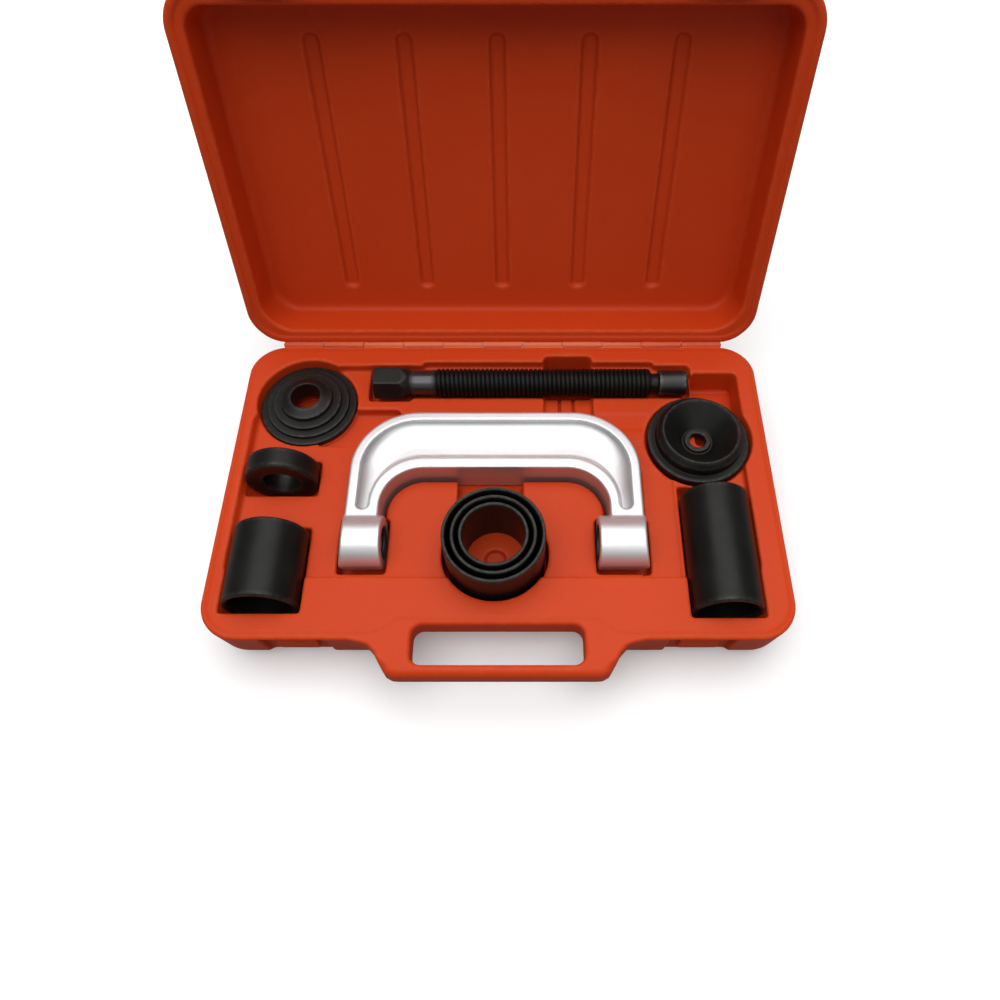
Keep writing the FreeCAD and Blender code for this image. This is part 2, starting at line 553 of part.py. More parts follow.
def make_frame():
    z0, z1 = FRAME_Z - FRAME_HALF_T, FRAME_Z + FRAME_HALF_T
    arm = frame_outline(0, z0, z1)
    for side in (-1, 1):
        z_open = FRAME_Z + side * (FRAME_HALF_T + 0.5)
        z_floor = FRAME_Z + side * (FRAME_HALF_T - SCOOP_DEPTH)
        arm = arm.cut(Part.makeLoft([scoop_wire(0.0, z_open), scoop_wire(SCOOP_TAPER, z_floor)],
                                    True, True))

    def near(a, b):
        return abs(a - b) < 0.01

    def on_flange_rim(edge):
        """edge in the top or bottom face, on the outer or inner outline of the frame"""
        bounds, centre = edge.BoundBox, edge.CenterOfMass
        from_mid = abs(centre.x - FRAME_X)
        return (bounds.ZLength < 0.01 and (near(bounds.ZMin, z0) or near(bounds.ZMin, z1))
                and (near(bounds.YMax, SPINE_BACK) or near(from_mid, FRAME_HALF_W)
                     or near(centre.y, SPINE_FRONT) or near(from_mid, LEG_INNER)))

    # the fillet may fail in the modelling kernel; the flange edges then stay sharp
    try:
        arm = arm.makeFillet(FLANGE_FILLET, [edge for edge in arm.Edges if on_flange_rim(edge)])
    except Exception as error:
        print("flange edges left sharp:", error)
    body = fuse([arm, boss(BOSS_L[1], BOSS_L[0]), boss(*BOSS_PLAIN)])
    bores = ((BOSS_L, THREAD_BORE_R, BOSS_L[1], -1), (BOSS_PLAIN, PLAIN_BORE_R, BOSS_PLAIN[0], 1))
    for (x0, x1), r, _, _ in bores:
        body = body.cut(cyl_x(BOSS_Y, FRAME_Z, r, x0 - 1, x1 + 1))
    # lead-in at the inner face of each boss
    for _, r, face_x, inward in bores:
        body = body.cut(Part.makeCone(r + LEAD_IN, r, LEAD_IN, Vector(face_x, BOSS_Y, FRAME_Z),
                                      Vector(inward, 0, 0)))
    return body


# ---------------------------------------------------------------------------
# forcing screw with swivel tip and its snap ring; profile heights are x
# ---------------------------------------------------------------------------
def revolve_screw(profile):
    return revolve(profile, (0, SCREW_Y, SCREW_Z), (1, 0, 0))


def make_screw():
    corners = []
    for k in range(6):
        angle = math.radians(60 * k + HEX_TURN)
        corners.append((SCREW_Y + HEX_CORNER_R * math.cos(angle),
                        SCREW_Z + HEX_CORNER_R * math.sin(angle)))
    start, neck = HEX
    envelope_r = HEX_CORNER_R + 0.1
    envelope = revolve_screw([(0, start), (HEX_AF / 2 - 0.4, start), (envelope_r, start + 1.6),
                              (envelope_r, HEX_RUNOUT), (NECK_R + 0.1, neck), (0, neck)])
    head = prism_x(corners, start, neck).common(envelope)

    thread_x, thread_end = THREAD
    profile = [(0, neck - 2), (NECK_R, neck - 2), (NECK_R, thread_x - 0.9),
               (ROOT_R, thread_x - 0.3), (ROOT_R, thread_x)]
    # the thread is a row of plain ridges
    x = thread_x
    while x + PITCH < thread_end - 0.3:
        profile += [(r, x + step) for r, step in RIDGE]
        x += PITCH
    stub_end = TIP[1] - TIP_FLOOR - STUB_PLAY
    groove0, groove1 = RING_X - STUB_GROOVE_HALF, RING_X + STUB_GROOVE_HALF
    profile += [(ROOT_R, thread_end - 0.2), (ROOT_R - 0.8, thread_end), (STUB_R, thread_end),
                (STUB_R, groove0), (STUB_GROOVE_R, groove0),
                (STUB_GROOVE_R, groove1), (STUB_R, groove1),
                (STUB_R, stub_end - 1), (STUB_R - 1, stub_end), (0, stub_end)]
    return head.fuse(revolve_screw(profile)).removeSplitter()


def make_tip():
    x0, x1 = TIP
    floor = x1 - TIP_FLOOR
    groove0, groove1 = RING_X - TIP_GROOVE_HALF, RING_X + TIP_GROOVE_HALF
    return revolve_screw([(TIP_BORE_R, x0), (TIP_R - TIP_EDGE, x0), (TIP_R, x0 + TIP_EDGE),
                          (TIP_R, x1 - TIP_NOSE), (TIP_R - TIP_NOSE, x1), (0, x1),
                          (0, floor), (TIP_BORE_R, floor), (TIP_BORE_R, groove1),
                          (TIP_GROOVE_R, groove1), (TIP_GROOVE_R, groove0),
                          (TIP_BORE_R, groove0)])


def make_snap_ring():
    """round-wire split ring that keeps the tip on the screw"""
    ring = Part.makeTorus(RING_R, RING_WIRE_R, Vector(RING_X, SCREW_Y, SCREW_Z), Vector(1, 0, 0))
    return ring.cut(box(RING_X - 2, SCREW_Y - RING_SPLIT, SCREW_Z - 12,
                        RING_X + 2, SCREW_Y + RING_SPLIT, SCREW_Z))


# ---------------------------------------------------------------------------
# tubes and adapters
# ---------------------------------------------------------------------------
def make_tube(outer, bore, length, chamfer, base, axis):
    """tube from base along axis, chamfered at all four end edges"""
    c = chamfer
    return revolve([(bore, c), (bore + c, 0), (outer - c, 0), (outer, c),
                    (outer, length - c), (outer - c, length),
                    (bore + c, length), (bore, length - c)], base, axis)


def make_stepped_adapter():
    chamfer = STEPPED_CHAMFER
    profile = [(STEPPED_BORE, SEAT_Z), (STEPPED_TIERS[0][0] - chamfer, SEAT_Z)]
    bottom = SEAT_Z + chamfer
    for r, top in STEPPED_TIERS:
        profile += [(r, bottom), (r, top - chamfer), (r - chamfer, top)]
        bottom = top
    crown_z = STEPPED_CROWN[1]
    profile += [STEPPED_CROWN, (STEPPED_BORE + CROWN_CHAMFER, crown_z),
                (STEPPED_BORE, crown_z - CROWN_CHAMFER)]
    return revolve(profile, (STEPPED_X, STEPPED_Y, 0), (0, 0, 1))


# ---------------------------------------------------------------------------
# all pieces, one file each
# ---------------------------------------------------------------------------
NODES = {"case_base": make_base(),
         "case_lid": make_lid(),
         "hinge_pin": hinge_cyl(HINGE_PIN_R, -HINGE_HALF - 0.5, HINGE_HALF + 0.5),
         "c_frame": make_frame(),
         "forcing_screw": make_screw(),
         "screw_swivel_tip": make_tip(),
         "tip_snap_ring": make_snap_ring(),
         "stepped_adapter": make_stepped_adapter(),
         "dished_adapter": revolve(DISH_PROFILE, (DISH_X, DISH_Y, SEAT_Z), (0, 0, 1))}
for side, x in LATCH_X.items():
    NODES["latch_" + side] = make_latch(x)
    NODES["latch_pin_" + side] = open_lid(latch_pin_cyl(x, LATCH_PIN_INSET))
for name, (outer, bore, length) in STANDING_TUBES.items():
    NODES[name] = make_tube(outer, bore, length, STANDING_CHAMFER,
                            (NEST_X, NEST_Y, NEST_TOP - length), (0, 0, 1))
for name, (x, outer, bore, y0, y1, _) in LYING_TUBES.items():
    NODES[name] = make_tube(outer, bore, y1 - y0, LYING_CHAMFER, (x, y0, LYING_Z), (0, 1, 0))

os.makedirs("parts", exist_ok=True)
for name, shape in NODES.items():
    solids = shape.Solids
    piece = solids[0] if len(solids) == 1 else Part.makeCompound(solids)
    piece.exportStep("parts/" + name + ".step")
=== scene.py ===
# A screw press kit in its open plastic case: a C-frame, its forcing screw, receiving
# tubes, sleeves and adapters.  The case lies on z = 0 with its length along x.  The grip
# and latches are in front (-y) and the hinge is at the back (+y), with the lid swung open
# about it.  Shapes are worked out in millimetres and stored in metres.
import json
import math
from itertools import product

import bmesh
import bpy
import numpy as np
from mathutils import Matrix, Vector


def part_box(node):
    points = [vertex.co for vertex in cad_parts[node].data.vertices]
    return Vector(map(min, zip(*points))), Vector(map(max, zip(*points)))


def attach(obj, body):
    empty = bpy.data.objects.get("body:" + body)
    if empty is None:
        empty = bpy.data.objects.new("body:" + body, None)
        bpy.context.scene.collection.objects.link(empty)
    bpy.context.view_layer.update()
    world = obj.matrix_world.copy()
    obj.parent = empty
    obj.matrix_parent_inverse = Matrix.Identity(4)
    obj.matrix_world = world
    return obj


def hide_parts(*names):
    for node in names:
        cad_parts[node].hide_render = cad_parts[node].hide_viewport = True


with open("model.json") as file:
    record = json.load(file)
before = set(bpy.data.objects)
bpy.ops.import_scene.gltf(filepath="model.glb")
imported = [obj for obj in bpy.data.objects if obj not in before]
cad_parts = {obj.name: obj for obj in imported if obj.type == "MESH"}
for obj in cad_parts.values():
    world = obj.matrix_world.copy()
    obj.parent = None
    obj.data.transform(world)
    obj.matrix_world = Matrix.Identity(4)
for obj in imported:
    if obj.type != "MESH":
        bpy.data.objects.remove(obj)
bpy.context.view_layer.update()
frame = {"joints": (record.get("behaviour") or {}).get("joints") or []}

MM = 0.001
F32 = np.float32
JOINTS = {joint["name"]: joint for joint in frame["joints"]}


def cad_box(node):
    """Lower and upper corners of a CAD node, in millimetres."""
    low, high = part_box(node)
    return np.array(low) / MM, np.array(high) / MM


def rest_angle(joint):
    return math.radians(-JOINTS[joint]["range_deg"][0])


# ---------------------------------------------------------------------------
# sizes and places shared between pieces (mm)
# ---------------------------------------------------------------------------
HINGE_Y, HINGE_Z = (float(v) for v in (np.array(JOINTS["lid_hinge"]["pos_m"]) / MM)[1:])
LID_ANGLE = rest_angle("lid_hinge")
LATCH_REST = rest_angle("latch_left_pivot")

base_low, base_high = cad_box("case_base")
HALF_LENGTH = (base_high[0] - base_low[0]) / 2
HALF_WIDTH = 122.0
CASE_CORNER = 27
CASE_DRAFT = math.tan(math.radians(4.2))
RIM = 48.0              # height of the base's rim
LAND = 41.0             # height of the tray's upper floor

KNUCKLES = 11           # hinge knuckles: even ones on the base, odd ones on the lid
KNUCKLE_END = 176.0     # x of the outer end of the row
KNUCKLE_WIDTH = 2 * KNUCKLE_END / KNUCKLES
KNUCKLE_GAP = 0.2
KNUCKLE_RADIUS = 2.2

LATCH_X = 136.0         # latches stand at plus and minus this
RECESS_HALF = 22.0      # half width of the latch recesses
RECESS_Y = -115.2       # back wall of the base's recesses
LUG_HALF = 13.8
LATCH_HALF = 19.0
LATCH_Y, LATCH_Z = -119.9, 62.0     # latch pivot with everything shut

FRAME_X, FRAME_Z = -3.5, 43.0       # middle of the C-frame
FRAME_HALF = 104.75     # half width over the arms
FRAME_ARM = 23.5        # width of an arm
FRAME_BACK = 51.3       # y of the outer edge of the bridge
FRAME_CORNER = 48
FRAME_INNER = 3.0       # y of the inner edge of the bridge
BOSS_Y, BOSS_RADIUS = -50.5, 19.0
LEFT_BOSS = (-111.2, -81.2)         # x of the ends
RIGHT_BOSS = (69.2, 104.6)

THREAD_PITCH = 3.44
tip_low, tip_high = cad_box("screw_swivel_tip")
SCREW_Y = float(tip_low[1] + tip_high[1]) / 2
SCREW_Z = float(tip_low[2] + tip_high[2]) / 2

NEST_X, NEST_Y = -3.0, -57.7        # round nest for the upright tubes
STEPPED_X, STEPPED_Y = -150.5, 69.0
DISHED_X, DISHED_Y = 149.0, 35.5
ADAPTER_SEAT = 36.0


# ---------------------------------------------------------------------------
# distance fields: negative inside, lengths in millimetres
# ---------------------------------------------------------------------------
def meet(a, b, blend):
    """What two shapes share, with a rounded edge."""
    return (np.minimum(-blend, np.maximum(a, b))
            + np.hypot(np.maximum(a + blend, 0), np.maximum(b + blend, 0)))


def join(a, b, blend):
    """Two shapes together, with a fillet between them."""
    return (np.maximum(blend, np.minimum(a, b))
            - np.hypot(np.maximum(blend - a, 0), np.maximum(blend - b, 0)))


def cut(body, tool, blend):
    return meet(body, -tool, blend)


def round_rect(x, y, x0, y0, x1, y1, corner):
    over_x = np.abs(x - (x0 + x1) / 2) - (x1 - x0) / 2 + corner
    over_y = np.abs(y - (y0 + y1) / 2) - (y1 - y0) / 2 + corner
    return (np.minimum(np.maximum(over_x, over_y), 0)
            + np.hypot(np.maximum(over_x, 0), np.maximum(over_y, 0)) - corner)


def polygon(x, y, points):
    x, y = np.broadcast_arrays(x, y)
    distance = np.full(x.shape, 1e9, F32)
    outside = np.ones(x.shape, bool)
    for i, (start_x, start_y) in enumerate(points):
        end_x, end_y = points[(i + 1) % len(points)]
        edge_x, edge_y = end_x - start_x, end_y - start_y
        from_x, from_y = x - start_x, y - start_y
        along = (from_x * edge_x + from_y * edge_y) / (edge_x * edge_x + edge_y * edge_y)
        along = np.clip(along, 0, 1)
        distance = np.minimum(distance, np.hypot(from_x - edge_x * along, from_y - edge_y * along))
        left, right = edge_x * from_y, edge_y * from_x
        outside ^= (((start_y <= y) & (end_y > y) & (left < right))
                    | ((start_y > y) & (end_y <= y) & (left > right)))
    return np.where(outside, distance, -distance)


def mirrored(half):
    """Outline from its -x half."""
    return half + [(-x, y) for x, y in reversed(half)]


def ease(start, end, value):
    """Smooth step from 0 at start to 1 at end."""
    t = np.clip((value - start) / (end - start), 0, 1)
    return t * t * (3 - 2 * t)


# ---------------------------------------------------------------------------
# meshes from fields
# ---------------------------------------------------------------------------
def surface_nets(field, origin, step):
    """Vertices, quads and field curvature (positive on outer edges) of the zero surface."""
    inside = field < 0
    shape = np.array(field.shape)
    nx, ny, nz = shape
    corners = list(product((0, 1), repeat=3))
    count = np.zeros(shape - 1, np.uint8)
    for i, j, k in corners:
        count += inside[i:nx - 1 + i, j:ny - 1 + j, k:nz - 1 + k]
    cells = np.argwhere((count > 0) & (count < 8))
    index = np.full(count.shape, -1, np.int32)
    index[tuple(cells.T)] = np.arange(len(cells), dtype=np.int32)

    # each vertex is the mean of the crossings on its cell's edges
    value = {corner: field[tuple((cells + corner).T)] for corner in corners}
    total = np.zeros((len(cells), 3), np.float64)
    crossings = np.zeros(len(cells))
    for corner, axis in product(corners, range(3)):
        if corner[axis]:
            continue
        other = list(corner)
        other[axis] = 1
        near, far = value[corner], value[tuple(other)]
        crossed = (near < 0) != (far < 0)
        along = np.where(crossed, near / np.where(crossed, near - far, 1), 0)
        for k in range(3):
            total[:, k] += np.where(crossed, float(corner[k]) + (along if k == axis else 0), 0)
        crossings += crossed
    points = total / crossings[:, None] + cells

    nearest = np.rint(points).astype(int)
    reach = 2

    def sample(offset):
        return field[tuple(np.clip(nearest + offset, 0, shape - 1).T)]

    around = 0
    for axis, shift in product(range(3), (reach, -reach)):
        offset = [0, 0, 0]
        offset[axis] = shift
        around = around + sample(offset)
    curvature = (around - 6 * sample([0, 0, 0])) / (reach * step)

    quads = []
    for axis in range(3):
        across = [k for k in range(3) if k != axis]
        near, far = [slice(1, -1)] * 3, [slice(1, -1)] * 3
        near[axis], far[axis] = slice(None, -1), slice(1, None)
        near, far = inside[tuple(near)], inside[tuple(far)]
        for leaving in (True, False):
            edges = np.argwhere(near & ~far if leaving else ~near & far)
            edges[:, across] += 1
            ring = []
            for offset in ((-1, -1), (0, -1), (0, 0), (-1, 0)):
                cell = edges.copy()
                cell[:, across] += offset
                ring.append(index[tuple(cell.T)])
            quad = np.stack(ring, 1)
            flip = leaving == (axis == 1)
            quads.append(quad[:, ::-1] if flip else quad)
    return points * step + np.array(origin), np.concatenate(quads), curvature


def relax(values, quads, rounds):
    """Move each value half way to the mean of its neighbours."""
    count = len(values)
    start = np.concatenate([quads[:, k] for k in range(4)])
    end = np.concatenate([quads[:, (k + 1) % 4] for k in range(4)])
    degree = np.bincount(start, minlength=count) + np.bincount(end, minlength=count)
    for _ in range(rounds):
        total = (np.bincount(start, values[end], count)
                 + np.bincount(end, values[start], count))
        values = values + 0.5 * (total / degree - values)
    return values


def sample_field(field, axes):
    x, y, z = axes
    return np.asarray(field(x[:, None, None], y[None, :, None], z[None, None, :]), F32)


def mesh_field(field, axes, step, soft):
    """Smoothed surface; soft is the number of rounds that spread the curvature."""
    points, quads, curvature = surface_nets(sample_field(field, axes), [a[0] for a in axes], step)
    points = np.stack([relax(column, quads, 1) for column in points.T], 1)
    return points, quads, relax(curvature, quads, soft)


def edge_masks(curvature, limit):
    # edge marks outer edges, for wear; crease_shade marks inner corners, for painted shade
    return {"edge": np.clip(curvature, 0, limit), "crease_shade": np.clip(-curvature, 0, limit)}


def new_object(name, points, quads, material, attributes):
    mesh = bpy.data.meshes.new(name)
    mesh.vertices.add(len(points))
    mesh.vertices.foreach_set("co", (np.asarray(points, float) * MM).astype(F32).ravel())
    mesh.loops.add(len(quads) * 4)
    mesh.loops.foreach_set("vertex_index", quads.astype(np.int32).ravel())
    mesh.polygons.add(len(quads))
    mesh.polygons.foreach_set("loop_start", np.arange(0, len(quads) * 4, 4, dtype=np.int32))
    mesh.polygons.foreach_set("use_smooth", np.full(len(quads), True))
    for key, values in attributes.items():
        attribute = mesh.attributes.new(key, "FLOAT", "POINT")
        attribute.data.foreach_set("value", np.asarray(values, F32))
    mesh.update()
    mesh.validate()
    obj = bpy.data.objects.new(name, mesh)
    bpy.context.scene.collection.objects.link(obj)
    mesh.materials.append(material)
    return obj


def field_object(name, field, low, high, step, material, move=None, soft=3):
    axes = [np.arange(a - 2 * step, b + 2.5 * step, step, dtype=F32) for a, b in zip(low, high)]
    points, quads, curvature = mesh_field(field, axes, step, soft)
    if move is not None:
        points = move(points)
    return new_object(name, points, quads, material, edge_masks(curvature, 3))


def register(obj, body, replaces=None):
    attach(obj, body)
    if replaces:
        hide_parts(replaces)


# ---------------------------------------------------------------------------
# turned parts: a profile with rounded corners, spun about an axis
# ---------------------------------------------------------------------------
def tidy(obj, merge=False, cap=False, outward=False):
    """Merge coincident vertices, cap open ends, point the faces outward."""
    mesh = bmesh.new()
    mesh.from_mesh(obj.data)
    if merge:
        bmesh.ops.remove_doubles(mesh, verts=mesh.verts, dist=1e-6)
    if cap:
        open_edges = [edge for edge in mesh.edges if edge.is_boundary]
        bmesh.ops.holes_fill(mesh, edges=open_edges, sides=0)
    if outward:
        bmesh.ops.recalc_face_normals(mesh, faces=mesh.faces)
    mesh.to_mesh(obj.data)
    mesh.free()


def ring_quads(rows, segments, closed=False):
    """Quads between rows of vertices, each row a full turn."""
    i, j = np.meshgrid(np.arange(rows if closed else rows - 1), np.arange(segments), indexing="ij")
    this, following = i * segments, (i + 1) % rows * segments
    beside = (j + 1) % segments
    corners = [this + j, this + beside, following + beside, following + j]
    return np.stack(corners, -1).reshape(-1, 4)


def full_turn(segments):
    return np.arange(segments) * 2 * math.pi / segments


def round_profile(corners, closed, steps=5):
    """Round a profile of (radius, height, fillet).

    Returns its points, and for each the sense of the turn it lies on (0 on none)."""
    points, turns = [], []
    last = len(corners) - 1
    for i, (radius, height, fillet) in enumerate(corners):
        sharp = fillet <= 0 or (not closed and i in (0, last))
        if not sharp:
            here = np.array([radius, height], float)
            back = np.array(corners[i - 1][:2], float) - here
            ahead = np.array(corners[(i + 1) % len(corners)][:2], float) - here
            back_length, ahead_length = np.linalg.norm(back), np.linalg.norm(ahead)
            back, ahead = back / back_length, ahead / ahead_length
            angle = math.acos(max(-1, min(1, float(back @ ahead))))
            sharp = angle > math.pi - 0.02
        if sharp:
            points.append((radius, height))
            turns.append(0.0)
            continue
        setback = min(fillet / math.tan(angle / 2), 0.48 * back_length, 0.48 * ahead_length)
        bend = setback * math.tan(angle / 2)
        middle = (back + ahead) / np.linalg.norm(back + ahead)
        centre = here + middle * (bend / math.sin(angle / 2))
        first, final = here + back * setback - centre, here + ahead * setback - centre
        start = math.atan2(first[1], first[0])
        end = math.atan2(final[1], final[0])
        sweep = (end - start + math.pi) % (2 * math.pi) - math.pi
        turn = 1.0 if back[0] * ahead[1] - back[1] * ahead[0] < 0 else -1.0
        for k in range(steps + 1):
            at = start + sweep * k / steps
            point = centre + bend * np.array([math.cos(at), math.sin(at)])
            points.append((max(point[0], 0.0), point[1]))
            turns.append(turn)
    return np.array(points), np.array(turns)


def lathe(name, corners, origin, axis, material, closed=True, segments=160, split=4.0):
    points, turns = round_profile(corners, closed)
    # run anticlockwise, so that outer corners are the ones marked as edges
    radii, heights = points.T
    if 0.5 * np.sum(radii * np.roll(heights, -1) - np.roll(radii, -1) * heights) < 0:
        points, turns = points[::-1], -turns[::-1]
    # cut long straight stretches so that wear and shading follow the shape
    profile, marks = [], []
    for i in range(len(points) if closed else len(points) - 1):
        start, end = points[i], points[(i + 1) % len(points)]
        pieces = max(1, int(np.linalg.norm(end - start) / split))
        for j in range(pieces):
            profile.append(start + (end - start) * j / pieces)
            marks.append(turns[i] if j == 0 else 0.0)
    if not closed:
        profile.append(points[-1])
        marks.append(turns[-1])
    profile, marks = np.array(profile), np.array(marks)
    lengths = np.linalg.norm(np.diff(profile, axis=0), axis=1)
    arc = np.concatenate([[0], np.cumsum(lengths)])

    z = Vector(axis).normalized()
    x = Vector((1, 0, 0)) if abs(z.x) < 0.9 else Vector((0, 1, 0))
    y = z.cross(x).normalized()
    x = y.cross(z).normalized()
    x, y, z = np.array(x), np.array(y), np.array(z)
    turn = full_turn(segments)
    outward = np.cos(turn)[:, None] * x + np.sin(turn)[:, None] * y
    vertices = (np.array(origin, float) + profile[:, None, 0:1] * outward[None]
                + profile[:, None, 1:2] * z)
    masks = {key: np.repeat(mask, segments) for key, mask in edge_masks(marks, 1).items()}
    masks["arc"] = np.repeat(arc, segments)
    masks["ang"] = np.tile(turn, len(profile))
    quads = ring_quads(len(profile), segments, closed)
    obj = new_object(name, vertices.reshape(-1, 3), quads, material, masks)
    if not closed or (profile[:, 0] < 1e-4).any():
        tidy(obj, merge=True)
    return obj


# ---------------------------------------------------------------------------
# shader building
# ---------------------------------------------------------------------------
class Nodes:
    """Builds a node tree; values may be numbers, colours or sockets."""

    def __init__(self, tree):
        self.tree = tree
        tree.nodes.clear()

    def node(self, kind, **settings):
        node = self.tree.nodes.new(kind)
        for key, value in settings.items():
            setattr(node, key, value)
        return node

    def feed(self, socket, value):
        if isinstance(value, bpy.types.NodeSocket):
            self.tree.links.new(value, socket)
        elif socket.type == "RGBA":
            socket.default_value = (*value, 1)
        else:
            socket.default_value = value

    def put(self, node, **values):
        """Set inputs by name, with underscores for spaces."""
        for key, value in values.items():
            self.feed(node.inputs[key.replace("_", " ")], value)

    def math(self, operation, *values, clamp=False):
        node = self.node("ShaderNodeMath", operation=operation, use_clamp=clamp)
        for socket, value in zip(node.inputs, values):
            self.feed(socket, value)
        return node.outputs[0]

    def times(self, a, b):
        return self.math("MULTIPLY", a, b)

    def plus(self, a, b, clamp=False):
        return self.math("ADD", a, b, clamp=clamp)

    def minus(self, a, b, clamp=False):
        return self.math("SUBTRACT", a, b, clamp=clamp)

    def level(self, value, span, low):
        """Spread a 0..1 value from low to low + span."""
        return self.plus(self.times(value, span), low)


class Material(Nodes):
    def __init__(self, name):
        self.material = bpy.data.materials.new(name)
        self.material.use_nodes = True
        super().__init__(self.material.node_tree)
        output = self.node("ShaderNodeOutputMaterial")
        self.bsdf = self.node("ShaderNodeBsdfPrincipled")
        self.feed(output.inputs[0], self.bsdf.outputs[0])
        self.position = self.node("ShaderNodeTexCoord").outputs["Object"]

    def surface(self, **values):
        self.put(self.bsdf, **values)

    def noise(self, scale, detail, rough, vector=None):
        node = self.node("ShaderNodeTexNoise")
        vector = self.position if vector is None else vector
        self.put(node, Vector=vector, Scale=scale, Detail=detail, Roughness=rough)
        return node.outputs["Fac"]

    def ramp(self, value, start, end, low=0.0, high=1.0):
        """Grey from low at start to high at end."""
        node = self.node("ShaderNodeValToRGB")
        stops = ((start, low), (end, high))
        for element, (place, grey) in zip(node.color_ramp.elements, stops):
            element.position = place
            element.color = (grey, grey, grey, 1)
        self.feed(node.inputs[0], value)
        return node.outputs[0]

    def mix(self, factor, first, second):
        node = self.node("ShaderNodeMix", data_type="RGBA", blend_type="MIX")
        for index, value in ((0, factor), (6, first), (7, second)):
            self.feed(node.inputs[index], value)
        return node.outputs[2]

    def tint(self, color, over, mask, amount):
        """Lay a colour over another by a share of a mask."""
        return self.mix(self.times(mask, amount), color, over)

    def attribute(self, name):
        return self.node("ShaderNodeAttribute", attribute_name=name).outputs["Fac"]

    def wear(self, edge_start, edge_end, chips, start, end, low):
        """Outer edges broken up by a chip noise."""
        edge = self.ramp(self.attribute("edge"), edge_start, edge_end)
        return self.times(edge, self.ramp(chips, start, end, low=low))

    def tool_lines(self, along, around):
        """Fine rings on a turned part; the factors scale arc length and angle."""
        vector = self.node("ShaderNodeCombineXYZ")
        self.feed(vector.inputs[0], self.times(self.attribute("arc"), along))
        self.feed(vector.inputs[1], self.times(self.attribute("ang"), around))
        return self.noise(scale=1.0, detail=3, rough=0.6, vector=vector.outputs[0])

    def bump(self, *layers):
        """Layers of (height, distance in metres, strength)."""
        last = None
        for height, distance, strength in layers:
            node = self.node("ShaderNodeBump")
            self.put(node, Height=height, Distance=distance, Strength=strength)
            if last is not None:
                self.put(node, Normal=last)
            last = node.outputs[0]
        self.surface(Normal=last)


def scaled(color, factor):
    return tuple(v * factor for v in color)


# ---------------------------------------------------------------------------
# materials
# ---------------------------------------------------------------------------
def plastic(name, base, dark, light):
    """Satin polyethylene: fine grain, faint mottling, rubbed edges, painted shade in creases, a
    painted highlight on the hinge barrels.
    """
    mat = Material(name)
    cloud = mat.noise(scale=6, detail=3, rough=0.5)
    grain = mat.noise(scale=1700, detail=2, rough=0.5)
    fine = mat.noise(scale=420, detail=3, rough=0.6)
    color = mat.mix(mat.ramp(cloud, start=0.30, end=0.75), dark, base)
    color = mat.tint(color, light, mat.ramp(fine, start=0.45, end=0.80), amount=0.06)
    scuff = mat.noise(scale=160, detail=5, rough=0.7)
    wear = mat.wear(edge_start=0.12, edge_end=0.75, chips=scuff, start=0.42, end=0.62, low=0.15)
    color = mat.tint(color, light, wear, amount=0.22)
    # painted shade: the plastic is darker in creases and inner corners
    crease_shade = mat.ramp(mat.attribute("crease_shade"), start=0.1, end=0.9)
    color = mat.tint(color, scaled(dark, 0.7), crease_shade, amount=0.30)
    # painted highlight: the hinge barrels are tinted paler along their length
    color = mat.tint(color, (0.86, 0.23, 0.11), mat.attribute("pale"), amount=0.72)
    # sparse handling scratches
    stretch = mat.node("ShaderNodeMapping")
    mat.put(stretch, Vector=mat.position, Rotation=(0.2, 0.1, 0.6), Scale=(22, 260, 60))
    scratches = mat.noise(scale=1.0, detail=6, rough=0.75, vector=stretch.outputs[0])
    scratches = mat.ramp(scratches, start=0.67, end=0.71)
    color = mat.tint(color, light, scratches, amount=0.04)
    rough = mat.level(mat.noise(scale=60, detail=4, rough=0.6), span=0.10, low=0.33)
    rough = mat.plus(rough, mat.times(wear, 0.08), clamp=True)
    mat.surface(Base_Color=color, Roughness=rough, Specular_IOR_Level=0.14, IOR=1.5,
                Subsurface_Weight=0.05, Subsurface_Radius=(1.0, 0.20, 0.06),
                Subsurface_Scale=0.0012)
    waves = mat.noise(scale=38, detail=2, rough=0.5)
    mat.bump((waves, 0.0005, 0.05), (grain, 0.0001, 0.22), (scratches, 0.00004, 0.2))
    return mat.material


def black_oxide(name, turned):
    """Black oxide on steel: oily mottling, steel showing on rubbed corners."""
    base = (0.0060, 0.0059, 0.0050)
    rubbed = (0.075, 0.073, 0.068)
    mat = Material(name)
    cloud = mat.noise(scale=70, detail=5, rough=0.62)
    spots = mat.noise(scale=900, detail=3, rough=0.6)
    color = mat.mix(mat.ramp(cloud, start=0.3, end=0.75), base, scaled(base, 1.75))
    speckle = mat.ramp(spots, start=0.56, end=0.72)
    color = mat.tint(color, scaled(base, 3.4), speckle, amount=0.30)
    chips = mat.noise(scale=260, detail=5, rough=0.72)
    wear = mat.wear(edge_start=0.08, edge_end=0.8, chips=chips, start=0.40, end=0.64, low=0.12)
    color = mat.tint(color, rubbed, wear, amount=0.38)
    # lighter neck: rubbed bare steel, and a painted highlight on it
    rubbed_neck_highlight = mat.attribute("rubbed_neck_highlight")
    color = mat.tint(color, (0.095, 0.095, 0.10), rubbed_neck_highlight, amount=0.85)
    smear = mat.noise(scale=38, detail=4, rough=0.6)
    rough = mat.level(smear, span=0.22, low=0.28)
    rough = mat.minus(rough, mat.times(wear, 0.08), clamp=True)
    rough = mat.minus(rough, mat.times(rubbed_neck_highlight, 0.14), clamp=True)
    mat.surface(Base_Color=color, Roughness=rough,
                Metallic=mat.level(rubbed_neck_highlight, span=0.5, low=0.35),
                Specular_IOR_Level=mat.minus(0.37, mat.times(mat.attribute("dull"), 0.20)))
    layers = [(spots, 0.00005, 0.35)]
    if turned:
        layers.insert(0, (mat.tool_lines(along=5.2, around=0.35), 0.00006, 0.30))
    mat.bump(*layers)
    return mat.material


